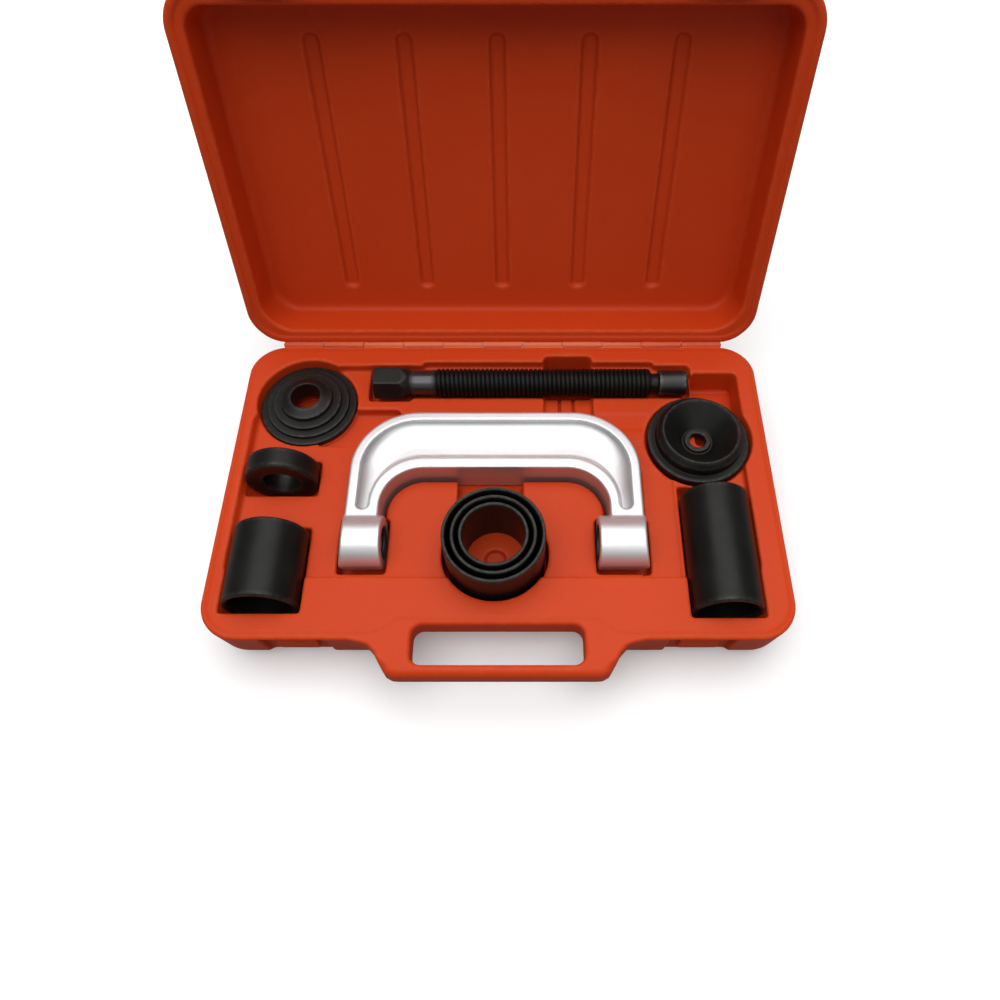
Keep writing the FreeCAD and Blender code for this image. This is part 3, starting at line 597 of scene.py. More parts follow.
def silver_paint(name):
    """Satin silver paint on a forging: orange peel, ripple, rubbed corners."""
    mat = Material(name)
    cloud = mat.noise(scale=28, detail=4, rough=0.6)
    color = mat.mix(mat.ramp(cloud, start=0.3, end=0.72),
                    (0.74, 0.745, 0.755), (0.81, 0.815, 0.825))
    flake = mat.noise(scale=2600, detail=2, rough=0.6)
    glitter = mat.ramp(flake, start=0.45, end=0.7)
    color = mat.tint(color, (0.93, 0.93, 0.94), glitter, amount=0.35)
    chips = mat.noise(scale=190, detail=5, rough=0.75)
    wear = mat.wear(edge_start=0.15, edge_end=1.1, chips=chips, start=0.50, end=0.66, low=0.0)
    color = mat.tint(color, (0.50, 0.50, 0.51), wear, amount=0.35)
    # painted shade: the paint is darker grey in creases and inner corners
    crease_shade = mat.ramp(mat.attribute("crease_shade"), start=0.1, end=1.4)
    color = mat.tint(color, (0.40, 0.40, 0.405), crease_shade, amount=0.45)
    # painted shade: side walls are darker, by how far the surface turns from facing up
    normal = mat.node("ShaderNodeSeparateXYZ")
    mat.feed(normal.inputs[0], mat.node("ShaderNodeTexCoord").outputs["Normal"])
    facing_up = mat.math("ABSOLUTE", normal.outputs[2])
    side = mat.ramp(facing_up, start=0.08, end=0.30, low=1.0, high=0.0)
    color = mat.tint(color, (0.36, 0.33, 0.31), side, amount=0.55)
    # the bores are near black: bare machined steel, darkened further as painted shade inside the
    # holes
    color = mat.tint(color, (0.045, 0.044, 0.042), mat.attribute("bore"), amount=0.94)
    rough = mat.level(mat.noise(scale=55, detail=4, rough=0.6), span=0.12, low=0.34)
    mat.surface(Base_Color=color, Roughness=rough, Metallic=0.76)
    peel = mat.noise(scale=520, detail=2, rough=0.5)
    ripple = mat.noise(scale=95, detail=3, rough=0.55)
    mat.bump((ripple, 0.0005, 0.16), (peel, 0.00012, 0.30), (flake, 0.00003, 0.25))
    return mat.material


def steel(name, base, lowest_rough):
    """Bright or thinly oxidised machined steel."""
    mat = Material(name)
    cloud = mat.noise(scale=120, detail=4, rough=0.6)
    color = mat.mix(mat.ramp(cloud, start=0.3, end=0.75), scaled(base, 0.72), base)
    chips = mat.noise(scale=420, detail=4, rough=0.7)
    wear = mat.times(mat.attribute("edge"), mat.ramp(chips, start=0.4, end=0.65, low=0.2))
    rubbed = tuple(min(1, v * 2.2 + 0.04) for v in base)
    color = mat.tint(color, rubbed, wear, amount=0.6)
    rough = mat.level(mat.noise(scale=80, detail=4, rough=0.6), span=0.16, low=lowest_rough)
    mat.surface(Base_Color=color, Roughness=rough, Metallic=0.9)
    mat.bump((mat.tool_lines(along=7.0, around=0.3), 0.00005, 0.35),
             (mat.noise(scale=1400, detail=2, rough=0.5), 0.00003, 0.3))
    return mat.material


CASE_PLASTIC = plastic("case_plastic", base=(0.610, 0.053, 0.0085),
                       dark=(0.575, 0.047, 0.0072), light=(0.76, 0.13, 0.045))
LATCH_PLASTIC = plastic("latch_plastic", base=(0.60, 0.052, 0.010),
                        dark=(0.54, 0.044, 0.0085), light=(0.74, 0.13, 0.045))
OXIDE = black_oxide("black_oxide", turned=True)
OXIDE_FLAT = black_oxide("black_oxide_flat", turned=False)
GROUND_STEEL = steel("ground_steel", base=(0.06, 0.06, 0.059), lowest_rough=0.30)
PIN_STEEL = steel("pin_steel", base=(0.42, 0.42, 0.43), lowest_rough=0.28)
SILVER = silver_paint("silver_paint")


# ---------------------------------------------------------------------------
# case base
# ---------------------------------------------------------------------------
# plan outlines (x, y)
GRIP = mirrored([(-98, -95), (-98, -118), (-92, -121.6), (-86, -124.5), (-81, -130),
                 (-76.5, -138), (-73, -143.5), (-69, -145.6), (-65, -146.0)])
GRIP_ZONE = mirrored([(-104, -160), (-104, -124), (-82, -119), (-67, -107.2)])
# sections (y, z)
UNDER_GRIP = [(-160, -12), (-160, 28), (-108, 28), (-98, 12), (-95, -12)]
LUG = [(-112, 18.8), (-118.6, 18.8), (-119.0, 20.0), (-119.0, 31.0), (-117.0, 37.0),
       (-112, 37.0)]

# rectangular pockets: x0, y0, x1, y1, corner, floor height, floor fillet, draft, blend
LAND_POCKETS = [(-131, 45, 148, 101.6, 3, LAND, 2.0, 0, 2.0),
                (100, -78, 127.0, 34.0, 2, LAND - 0.8, 0.8, 0, 0.6),
                (100, -78, 127.0, 7.7, 2, LAND - 1.5, 0.8, 0, 0.6)]
CORNER_POCKET = [(148.5, 34, 184.2, 94.6, 4, 25.0, 3.0, 0.04, 1.3)]
SCREW_POCKETS = [(-104.5, 72.6, -70.5, 102.0, 3, 31.3, 3.0, 0, 1.5),
                 (-80.0, 76.0, 147.5, 101.8, 3, SCREW_Z - 4.0, 1.5, 0, 1.2),
                 (-63.0, 75.2, 120.0, 105.4, 3, SCREW_Z - 4.0, 1.5, 0, 1.2)]
SLOTTED_FRONT = [(33, 51, 71, 84, 4, 35.0, 1.5, 0, 1.0)]
BOSS_POCKETS = [(-113.2, -73.4, -78.8, -31, 2.5, 23.2, 2.5, 0, 1.3),
                (67.8, -73.4, 106.0, -31, 2.5, 23.2, 2.5, 0, 1.3),
                (-31.6, -40, 17.0, 8.0, 6, 28.8, 3.0, 0.03, 1.3)]
# round-bottomed troughs along y: centre x, radius, x0, x1, y0, y1
TROUGHS = [(-160, 26.9, -187, -132.6, -11.8, 17.0), (-160, 26.4, -187, -132.2, -104, -38),
           (154, 24.9, 128.6, 179.2, -107, -4.5)]
TROUGH_Z = 44.0         # height of the troughs' axes
SCREW_TROUGH_RADIUS = 12.2


def case_outline(x, y):
    return round_rect(x, y, -HALF_LENGTH, -HALF_WIDTH, HALF_LENGTH, HALF_WIDTH, CASE_CORNER)


def pocket(outline, z, floor, foot=3.0, draft=0.03):
    """Pocket from a plan distance; foot is its floor fillet."""
    return meet(outline + (RIM - z) * draft, floor - z, foot)


def add_rects(tray, x, y, z, table):
    for *rect, floor, foot, draft, blend in table:
        tray = join(tray, pocket(round_rect(x, y, *rect), z, floor, foot, draft), blend)
    return tray


def relieve(body, x, y, z, parity):
    """Cut room for the other half's knuckles (parity 0: base, 1: lid)."""
    place = (x + KNUCKLE_END) / KNUCKLE_WIDTH
    span = np.floor(place)
    beyond = (span < 0) | (span >= KNUCKLES)
    off_middle = np.abs(place - span - 0.5)
    end = np.where((np.mod(span, 2) != parity) & ~beyond,
                   off_middle * KNUCKLE_WIDTH - KNUCKLE_WIDTH / 2 - 0.03,
                   (0.5 - off_middle) * KNUCKLE_WIDTH - 0.03)
    past_row = np.maximum(np.abs(x) - KNUCKLE_END, 0.2) + (0.0 if parity else 6.0)
    end = np.where(beyond, past_row, end)
    tool = np.maximum(np.hypot(y - HINGE_Y, z - HINGE_Z) - (KNUCKLE_RADIUS + 0.13), end)
    return cut(body, tool, 0.15)


def base_shell(x, y, z):
    """Outside of the base, with its grip and latch recesses."""
    outline = case_outline(x, y)
    grip = meet(polygon(x, y, GRIP), 28.0 - z, 5.0)
    body = meet(join(outline + (RIM - z) * CASE_DRAFT, grip, 5.0), -z, 18.0)
    # a low band runs round the rim and behind the grip hole
    plateau = cut(outline + 4.8, polygon(x, y, GRIP_ZONE), 4.0)
    top = RIM - 0.9 * ease(-0.7, 0.7, plateau)
    body = meet(body, z - top, 2.6 + 3.8 * ease(-133.0, -139.5, y))
    # hollow under the grip, then the grip hole
    body = cut(body, meet(polygon(y, z, UNDER_GRIP), np.abs(x) - 74, 5.0), 2.5)
    body = cut(body, round_rect(x, y, -57, -138, 57, -111.5, 7), 3.2)
    for side in (-1, 1):
        off = np.abs(x - side * LATCH_X)
        recess = meet(meet(off - RECESS_HALF, y - RECESS_Y, 1.6), z - 44.0, 1.6)
        body = cut(body, recess, 1.4)
        body = join(body, meet(polygon(y, z, LUG), off - LUG_HALF, 1.2), 0.9)
    return body


def slotted_pocket(x, y, z):
    """Deep pocket behind a shallow one, with two narrow slots in the shallow floor."""
    tray = pocket(round_rect(x, y, 33, 78, 71, 111.2, 4), z, floor=24.0, foot=3.0, draft=0.02)
    tray = add_rects(tray, x, y, z, SLOTTED_FRONT)
    for slot_x in (45.3, 56.1):
        slot = meet(np.abs(x - slot_x) - 0.9, np.abs(y - 66.0) - 13.0, 0.3)
        tray = join(tray, meet(slot, 31.6 - z, 0.5), 0.6)
    return tray


def tray_pockets(x, y, z):
    # wide upper floor, its -x wall leaning
    lean = np.clip((RIM - z) * 0.30, 0, 3.5) * ease(-150.0, -184.0, x)
    tray = pocket(round_rect(x, y, -189.0, -78, 180.2, 60, 10) + lean, z, LAND, 2.0, 0)
    tray = add_rects(tray, x, y, z, LAND_POCKETS)
    # adapters
    from_stepped = np.hypot(x - STEPPED_X, y - STEPPED_Y)
    from_dished = np.hypot(x - DISHED_X, y - DISHED_Y)
    tray = join(tray, pocket(from_stepped - 38.0, z, floor=35.8, foot=2.0), 1.3)
    tray = join(tray, pocket(from_stepped - 16.0, z, floor=26.5, foot=2.0, draft=0), 0.6)
    tray = join(tray, pocket(from_dished - 39.8, z, floor=35.8, foot=2.5), 1.3)
    tray = add_rects(tray, x, y, z, CORNER_POCKET)
    # lying tubes, then the screw; walls stand upright above each axis
    for centre, radius, x0, x1, y0, y1 in TROUGHS:
        across = np.where(z < TROUGH_Z, np.hypot(x - centre, z - TROUGH_Z) - radius,
                          np.abs(x - (x0 + x1) / 2) - (x1 - x0) / 2)
        along = np.abs(y - (y0 + y1) / 2) - (y1 - y0) / 2
        tray = join(tray, meet(across, along, 2.2), 1.3)
    across = np.where(z < SCREW_Z, np.hypot(y - SCREW_Y, z - SCREW_Z) - SCREW_TROUGH_RADIUS,
                      np.abs(y - SCREW_Y) - SCREW_TROUGH_RADIUS)
    tray = join(tray, meet(across, np.abs(x - 33.75) - 113.75, 2.0), 1.5)
    tray = add_rects(tray, x, y, z, SCREW_POCKETS)
    tray = join(tray, slotted_pocket(x, y, z), 1.5)
    # C-frame, with clearance all round
    tray = join(tray, pocket(frame_outline(x, y) - 3.0, z, floor=28.8, draft=0.02), 1.3)
    tray = add_rects(tray, x, y, z, BOSS_POCKETS)
    # shelf beside the stepped adapter
    shelf = meet(round_rect(x, y, -140, 31, -78, 64.4, 5), 37.0 - from_stepped, 1.0)
    tray = join(tray, pocket(shelf, z, floor=33.0, foot=2.5, draft=0), 1.3)
    nest = np.hypot(x - NEST_X, y - NEST_Y) - 37.6
    return join(tray, pocket(nest, z, floor=10.3, foot=2.5, draft=0), 1.3)


def nest_pedestal(x, y, z):
    """Two steps that rise in the nest, dimpled in the middle."""
    rho = np.hypot(x - NEST_X, y - NEST_Y)
    steps = np.minimum(meet(rho - 31.5, z - 19.8, 1.2), meet(rho - 25.6, z - 29.3, 1.2))
    steps = cut(steps, meet(rho - 7.6, 25.8 - z, 2.0), 1.2)
    return np.maximum(steps, 8.0 - z)


def base_field(x, y, z):
    body = cut(base_shell(x, y, z), tray_pockets(x, y, z), 1.3)
    body = join(body, nest_pedestal(x, y, z), 1.2)
    return relieve(body, x, y, z, 0)


# ---------------------------------------------------------------------------
# lid, modelled shut and then opened about the hinge
# ---------------------------------------------------------------------------
LID_BOTTOM = RIM + 0.15
LID_TOP = 90.0


def swing(points, pivot_y, pivot_z, angle):
    y, z = points[:, 1] - pivot_y, points[:, 2] - pivot_z
    cosine, sine = math.cos(angle), math.sin(angle)
    turned = points.copy()
    turned[:, 1] = pivot_y + y * cosine + z * sine
    turned[:, 2] = pivot_z - y * sine + z * cosine
    return turned


def open_lid(points):
    return swing(points, HINGE_Y, HINGE_Z, LID_ANGLE)


def lid_field(x, y, z):
    outline = case_outline(x, y)
    rise = z - LID_BOTTOM
    body = meet(outline + rise * CASE_DRAFT, z - LID_TOP, 14.0)
    # step inside the rim band
    under = LID_BOTTOM + 1.1 * ease(-0.6, 0.6, -(outline + 5.6))
    body = meet(body, under - z, 1.8 - 1.45 * ease(112.0, 120.0, y))
    # hollow, deepened between ribs 60 mm apart
    corner = np.where(y < 0, 15.0, 24.0)
    hollow = meet(round_rect(x, y, -188, -109, 188, 111.5, corner) + rise * 0.087, z - 78.0, 5.0)
    bays = meet(np.abs(np.mod(x + 30.0, 60.0) - 30.0) - 5.0, np.abs(x) - 135.0, 0.5)
    bays = meet(bays, np.abs(y) - 88.0, 4.0)
    hollow = join(hollow, meet(bays, np.abs(z - 76.0) - 5.0, 1.5), 2.0)
    body = cut(body, hollow, 2.2)
    # sunk panel on top
    body = cut(body, meet(round_rect(x, y, -150, -84, 150, 80, 16), 88.0 - z, 1.2), 1.8)
    for side in (-1, 1):
        off = np.abs(x - side * LATCH_X)
        notch = meet(meet(off - RECESS_HALF, y + 113.0, 1.6), np.abs(z - LATCH_Z) - 10.0, 1.6)
        body = cut(body, notch, 1.4)
    return relieve(body, x, y, z, 1)


# ---------------------------------------------------------------------------
# hinge knuckles; sections are (y, z)
# ---------------------------------------------------------------------------
KNUCKLE_BACK, KNUCKLE_LOW = HINGE_Y + KNUCKLE_RADIUS, HINGE_Z - KNUCKLE_RADIUS
LID_WEB = [(118.5, 48.9), (122.2, 48.5), (HINGE_Y, HINGE_Z), (KNUCKLE_BACK, HINGE_Z),
           (KNUCKLE_BACK, 48.6), (122.6, 51.4), (118.5, 52.2)]
BASE_WEB = [(118.5, KNUCKLE_LOW), (HINGE_Y, KNUCKLE_LOW), (HINGE_Y, HINGE_Z), (118.5, HINGE_Z)]
RIM_STRIP = [(118.6, 48.35), (121.9, 48.3), (121.7, 51.5), (118.6, 51.5)]


def knuckle_spans(parity):
    """x of both ends of each knuckle."""
    return [(-KNUCKLE_END + i * KNUCKLE_WIDTH + KNUCKLE_GAP / 2,
             -KNUCKLE_END + (i + 1) * KNUCKLE_WIDTH - KNUCKLE_GAP / 2)
            for i in range(KNUCKLES) if i % 2 == parity]


def knuckle_mesh(parity, half):
    web = LID_WEB if parity else BASE_WEB

    def field(x, y, z):
        rho = np.hypot(y - HINGE_Y, z - HINGE_Z)
        body = join(rho - KNUCKLE_RADIUS, polygon(y, z, web), 0.4)
        return cut(meet(body, np.abs(x) - half, 0.25), rho - 1.08, 0.15)

    step = 0.4
    ranges = ((-half - 1.2, half + 1.5), (117.3, 127), (43.5, 53.5))
    axes = [np.arange(*ends, step, dtype=F32) for ends in ranges]
    return mesh_field(field, axes, step, soft=2)


def strip_mesh(half):
    """Rim strip of the lid that closes over a base knuckle."""
    def field(x, y, z):
        body = meet(polygon(y, z, RIM_STRIP), np.abs(x) - half - 0.1, 0.15)
        return cut(body, np.hypot(y - HINGE_Y, z - HINGE_Z) - (KNUCKLE_RADIUS + 0.13), 0.1)

    steps = (0.6, 0.3, 0.3)
    ranges = ((-half - 1.2, half + 1.5), (117.8, 123.0), (47.4, 52.4))
    axes = [np.arange(*ends, step, dtype=F32) for ends, step in zip(ranges, steps)]
    points, quads, _ = surface_nets(sample_field(field, axes), [0, 0, 0], 1.0)
    return points * np.array(steps) + np.array([axis[0] for axis in axes]), quads


def knuckle_object(name, parity):
    spans = knuckle_spans(parity)
    half = (spans[0][1] - spans[0][0]) / 2
    points, quads, curvature = knuckle_mesh(parity, half)
    rho = np.hypot(points[:, 1] - HINGE_Y, points[:, 2] - HINGE_Z)
    # painted highlight on the barrels, strongest on the barrel itself
    barrel = 1 - ease(KNUCKLE_RADIUS + 0.15, KNUCKLE_RADIUS + 0.9, rho)
    all_points, all_quads, all_curvature, all_painted_highlight = [], [], [], []

    def add(points, quads, curvature, pale):
        all_quads.append(quads + sum(len(part) for part in all_points))
        all_points.append(open_lid(points) if parity else points)
        all_curvature.append(curvature)
        all_painted_highlight.append(pale)

    for start, end in spans:
        moved = points + np.array([(start + end) / 2, 0, 0])
        # the painted highlight fades towards the ends of the row
        fade = 1 - 0.65 * ease(60, 170, np.abs(moved[:, 0]))
        add(moved, quads, curvature, barrel * fade)
    if parity:
        points, quads = strip_mesh(half)
        plain = np.zeros(len(points))
        for start, end in knuckle_spans(0):
            add(points + np.array([(start + end) / 2, 0, 0]), quads, plain, plain)
    masks = edge_masks(np.concatenate(all_curvature), 1)
    masks["pale"] = np.concatenate(all_painted_highlight)
    return new_object(name, np.concatenate(all_points), np.concatenate(all_quads),
                      CASE_PLASTIC, masks)


# ---------------------------------------------------------------------------
# latches; the outline is (y, z) with everything shut
# ---------------------------------------------------------------------------
LATCH_PLATE = [(-125.6, 63.0), (-122.6, 65.0), (-119.9, 65.4), (-118.6, 60.0), (-122.7, 55.0),
               (-122.7, 18.2), (-116.6, 18.2), (-116.2, 17.0), (-118.6, 13.6), (-123.4, 13.0),
               (-128.2, 5.0), (-130.4, 5.4), (-126.2, 14.0), (-125.6, 20.0)]


def latch_field(x, y, z):
    rho = np.hypot(y - LATCH_Y, z - LATCH_Z)
    body = join(rho - 4.0, polygon(y, z, LATCH_PLATE), 0.8)
    body = meet(body, np.abs(x) - LATCH_HALF, 0.9)
    # sunk panel on the plate, then the pin bore
    body = cut(body, meet(round_rect(x, z, -14, 24, 14, 54, 2.5), y + 125.1, 0.3), 0.4)
    return cut(body, rho - 1.58, 0.2)


def build_latch(side, label):
    def stow(points):
        shifted = points + np.array([side * LATCH_X, 0, 0])
        return open_lid(swing(shifted, LATCH_Y, LATCH_Z, LATCH_REST))

    latch = field_object("latch_plate_" + label, latch_field, low=(-LATCH_HALF, -131, 4.5),
                         high=(LATCH_HALF, -115.5, 66.5), step=0.5, material=LATCH_PLASTIC,
                         move=stow, soft=2)
    register(latch, "latch_" + label, "latch_" + label)
    low, high = cad_box("latch_pin_" + label)
    half = (high[0] - low[0]) / 2
    profile = [(0, -half, 0), (1.5, -half, 0.3), (1.5, half, 0.3), (0, half, 0)]
    pin = lathe("latch_wire_" + label, profile, (low + high) / 2, (1, 0, 0), PIN_STEEL,
                closed=False, segments=28, split=8)
    register(pin, "lid", "latch_pin_" + label)


def build_case():
    step = 1.0
    base = field_object("case_base_shell", base_field, low=(-200, -146.5, 0),
                        high=(200, 122.2, 48.2), step=step, material=CASE_PLASTIC)
    register(base, "base", "case_base")
    lid = field_object("case_lid_shell", lid_field, low=(-200, -122, 48), high=(200, 122, 90),
                       step=step, material=CASE_PLASTIC, move=open_lid)
    register(lid, "lid", "case_lid")
    register(knuckle_object("hinge_knuckles_base", 0), "base")
    register(knuckle_object("hinge_knuckles_lid", 1), "lid")
    # wire with bevelled ends
    profile = [(0, -176.4, 0), (0.8, -176.4, 0.25), (1.0, -176.0, 0.2),
               (1.0, 176.0, 0.2), (0.8, 176.4, 0.25), (0, 176.4, 0)]
    wire = lathe("hinge_wire", profile, (0, HINGE_Y, HINGE_Z), (1, 0, 0), PIN_STEEL,
                 closed=False, segments=24, split=20)
    register(wire, "base", "hinge_pin")
    build_latch(-1, "left")
    build_latch(1, "right")


# ---------------------------------------------------------------------------
# C-frame: a bridge across the back, two arms forward to the bosses
# ---------------------------------------------------------------------------
FRAME_THICK_HALF = 14.0
FLANGE = 7.2            # outer flange beside the scoops
SCOOP_DEPTH = 9.2
SCOOP_END = -30.5       # y of the rounded front ends of the scoops


def frame_outline(x, y):
    inner_half = FRAME_HALF - FRAME_ARM
    outer = round_rect(x, y, FRAME_X - FRAME_HALF, -260, FRAME_X + FRAME_HALF, FRAME_BACK,
                       FRAME_CORNER)
    inner = round_rect(x, y, FRAME_X - inner_half, -360, FRAME_X + inner_half, FRAME_INNER, 30)
    return np.maximum(np.maximum(outer, -inner), BOSS_Y - y)


def quarter_round(t):
    return np.sqrt(np.maximum(1 - (1 - np.clip(t, 0, 1)) ** 2, 0))


def frame_scoops(x, y, off_mid):
    """Round-bottomed hollows between the flanges, on both faces."""
    outer_half = FRAME_HALF - FLANGE
    inner_half = FRAME_HALF - FRAME_ARM + 7.0
    outer = round_rect(x, y, FRAME_X - outer_half, -300, FRAME_X + outer_half,
                       FRAME_BACK - FLANGE, FRAME_CORNER - FLANGE)
    inner = round_rect(x, y, FRAME_X - inner_half, -400, FRAME_X + inner_half,
                       FRAME_INNER + 8.4, 36)
    end_radius = (outer_half - inner_half) / 2
    end_y = SCOOP_END + end_radius
    end = np.hypot(np.abs(x - FRAME_X) - (outer_half + inner_half) / 2, y - end_y) - end_radius
    in_end = y < end_y
    plan = np.where(in_end, end, np.maximum(outer, -inner))
    depth_in = np.where(in_end, -end, np.minimum(-outer, inner))
    depth = np.minimum(quarter_round(-outer / 21.0), quarter_round(inner / 8.0))
    depth = SCOOP_DEPTH * np.minimum(depth, quarter_round(depth_in / 6.5))
    return np.maximum(plan, (FRAME_THICK_HALF - depth) - off_mid)


def frame_field(x, y, z):
    off_mid = np.abs(z - FRAME_Z)
    rho = np.hypot(y - BOSS_Y, z - FRAME_Z)
    body = meet(frame_outline(x, y) + off_mid * 0.035 - 0.45, off_mid - FRAME_THICK_HALF, 1.6)
    body = cut(body, frame_scoops(x, y, off_mid), 1.0)
    # bosses: the outer ends are drafted, the inner ends are flat
    draft = 3.6 / BOSS_RADIUS
    for (x0, x1), draft0, draft1 in ((LEFT_BOSS, draft, 0.0), (RIGHT_BOSS, 0.0, draft)):
        ends = np.maximum(x0 + off_mid * draft0 - x, x - (x1 - off_mid * draft1))
        body = join(body, meet(rho - BOSS_RADIUS, ends, 1.3), 1.6)
    # threaded bore in the left boss, chamfered at both ends
    turn = np.arctan2(z - FRAME_Z, y - BOSS_Y) / (2 * math.pi)
    phase = np.mod(x / THREAD_PITCH - turn, 1.0)
    thread = 9.9 + 1.3 * np.clip(1.6 - np.abs(phase - 0.5) * 4.4, 0, 1)
    from_end = np.minimum(np.abs(x - LEFT_BOSS[1]), np.abs(x - LEFT_BOSS[0]))
    thread = np.maximum(thread, 11.4 - from_end)
    threaded = np.maximum(meet(rho - thread, x + 60, 0.1), -(x + 125))
    body = cut(body, threaded, 0.5)
    return cut(body, np.maximum(rho - 12.7, 60 - x), 0.7)


def build_frame():
    obj = field_object("c_frame_forging", frame_field, low=(-112, -70, 23.5),
                       high=(105.2, 51.8, 62.5), step=0.6, material=SILVER)
    points = np.empty(len(obj.data.vertices) * 3, F32)
    obj.data.vertices.foreach_get("co", points)
    x, y, z = (points.reshape(-1, 3) / MM).T
    rho = np.hypot(y - BOSS_Y, z - FRAME_Z)
    # mask of the bores, painted near black both as bare steel and as shade inside the holes
    bore = np.where(x < 0, 1 - ease(11.9, 12.5, rho), 1 - ease(12.9, 13.5, rho))
    bore = bore * (np.abs(x - FRAME_X) > 60)
    attribute = obj.data.attributes.new("bore", "FLOAT", "POINT")
    attribute.data.foreach_set("value", bore.astype(F32))
    register(obj, "c_frame", "c_frame")


# ---------------------------------------------------------------------------
# forcing screw: hexagon head at -x, threaded shank, swivel tip at +x
# ---------------------------------------------------------------------------
HEX_START, HEX_END = -100.0, -71.5
HEX_COLLAR = -78.7      # x where the collar's cone is sized from
HEX_FLATS, HEX_TURN = 24.0, 8.3     # width across flats; turn in degrees
HEX_REACH = 14
NECK_RADIUS = 10.1
THREAD_START, THREAD_END = -52.0, 116.2
CREST_RADIUS, ROOT_RADIUS = 11.1, 9.75
STUB_RADIUS = 7.5
RING_X = 128.0          # middle of the snap ring
# plain end past the thread, grooved for the ring (x, radius)
STUB = [(THREAD_END + 0.05, STUB_RADIUS), (120.0, STUB_RADIUS), (127.0, STUB_RADIUS),
        (127.0, 6.1), (129.0, 6.1), (129.0, STUB_RADIUS), (137.0, STUB_RADIUS),
        (138.2, 6.5), (138.2, 0.0)]


def hex_field(x, y, z):
    y, z = y - SCREW_Y, z - SCREW_Z
    body = np.full(np.broadcast(y, z).shape, -1e9, F32)
    for k in range(3):
        angle = math.radians(60 * k + 30 + HEX_TURN)
        flat = np.abs(y * math.cos(angle) + z * math.sin(angle)) - HEX_FLATS / 2
        body = meet(body, flat, 0.35)
    body = meet(body, HEX_START - x, 0.3)
    # chamfered head, then the cone down to the neck
    rho = np.hypot(y, z)
    body = meet(body, (rho - 11.8) * 0.5 - (x - HEX_START) * 0.866, 0.35)
    slope = (13.9 - 10.1) / (HEX_END - HEX_COLLAR)
    cone = (rho - 10.0 - (HEX_END - x) * slope) * 0.88
    body = meet(meet(body, x - HEX_END, 0.2), cone, 0.8)
    # centre mark in the head
    return cut(body, meet(rho - 2.4, x - (HEX_START + 3.0), 0.5), 0.4)


def build_shank():
    segments, rows_per_turn = 112, 16
    start, end = THREAD_START, THREAD_END
    stations = np.concatenate([
        [-74.0, -71.6], np.linspace(-71, start - 4, 14), np.linspace(start - 3.6, start - 0.4, 8),
        np.arange(start, end + 1e-6, THREAD_PITCH / rows_per_turn), [end + 0.02, end + 0.05]])
    x, turn = np.meshgrid(stations, full_turn(segments), indexing="ij")
    phase = np.mod(x / THREAD_PITCH - turn / (2 * math.pi), 1.0)
    crest = 1 - np.abs(phase - 0.5) * 2         # 0 at root, 1 at crest
    thread = ROOT_RADIUS + (CREST_RADIUS - ROOT_RADIUS) * ease(0.08, 0.46, crest)
    run_in = ease(start - 0.6, start + 2.6, x)
    radius = NECK_RADIUS + (thread - NECK_RADIUS) * run_in
    chamfer = end - 1.8
    bevel = np.minimum(radius, ROOT_RADIUS + 1.3 - (x - chamfer) * 1.1)
    radius = np.where(x > chamfer, bevel, radius)
    radius = np.where(x > end + 0.01, STUB_RADIUS, radius)
    edge = 0.12 * ease(0.36, 0.50, crest) * (1 - ease(0.55, 0.80, crest)) * run_in
    rubbed_neck_highlight = ease(-72.0, -67.5, x) * (1 - ease(-56.5, -50.5, x))    # the neck is rubbed bright steel, and its lighter colour is also a painted highlight
    dull = ease(start, start + 3.0, x)

    stub_x, stub_radius = np.array(STUB).T
    none = np.zeros(len(STUB))

    def with_ends(first, middle, last):
        """Add the row that closes the -x end and the rows of the stub."""
        ends = np.full((1, segments), first), np.repeat(last[:, None], segments, 1)
        return np.concatenate([ends[0], middle, ends[1]])

    all_x = with_ends(-74.0, x, stub_x)
    all_radius = with_ends(0.0, radius, stub_radius)
    rows = len(all_x)
    turn = np.repeat(full_turn(segments)[None], rows, 0)
    points = np.stack([all_x, SCREW_Y + all_radius * np.cos(turn),
                       SCREW_Z + all_radius * np.sin(turn)], -1).reshape(-1, 3)
    masks = {"edge": with_ends(0.0, edge, none).ravel(), "crease_shade": np.zeros(rows * segments),
             "arc": all_x.ravel(), "ang": turn.ravel(),
             "rubbed_neck_highlight": with_ends(0.0, rubbed_neck_highlight, none).ravel(),
             "dull": with_ends(0.0, dull, none).ravel()}
    quads = ring_quads(rows, segments)[:, ::-1]
    obj = new_object("forcing_screw_shank", points, quads, OXIDE, masks)
    tidy(obj, merge=True, outward=True)
    register(obj, "screw")


def build_tip():
    start, end = tip_low[0], tip_high[0]
    bore = 7.56
    profile = [(bore, start, 0.3), (10.2, start, 0.9), (10.2, end, 1.9), (0.0, end, 0),
               (0.0, end - 6.0, 0), (bore, end - 6.0, 0.3),
               # groove for the ring
               (bore, 129.1, 0.1), (8.5, 129.1, 0.1), (8.5, 126.9, 0.1), (bore, 126.9, 0.1)]
    obj = lathe("swivel_tip_cup", profile, (0, SCREW_Y, SCREW_Z), (1, 0, 0), GROUND_STEEL,
                segments=128, split=2.5)
    register(obj, "swivel_tip", "screw_swivel_tip")


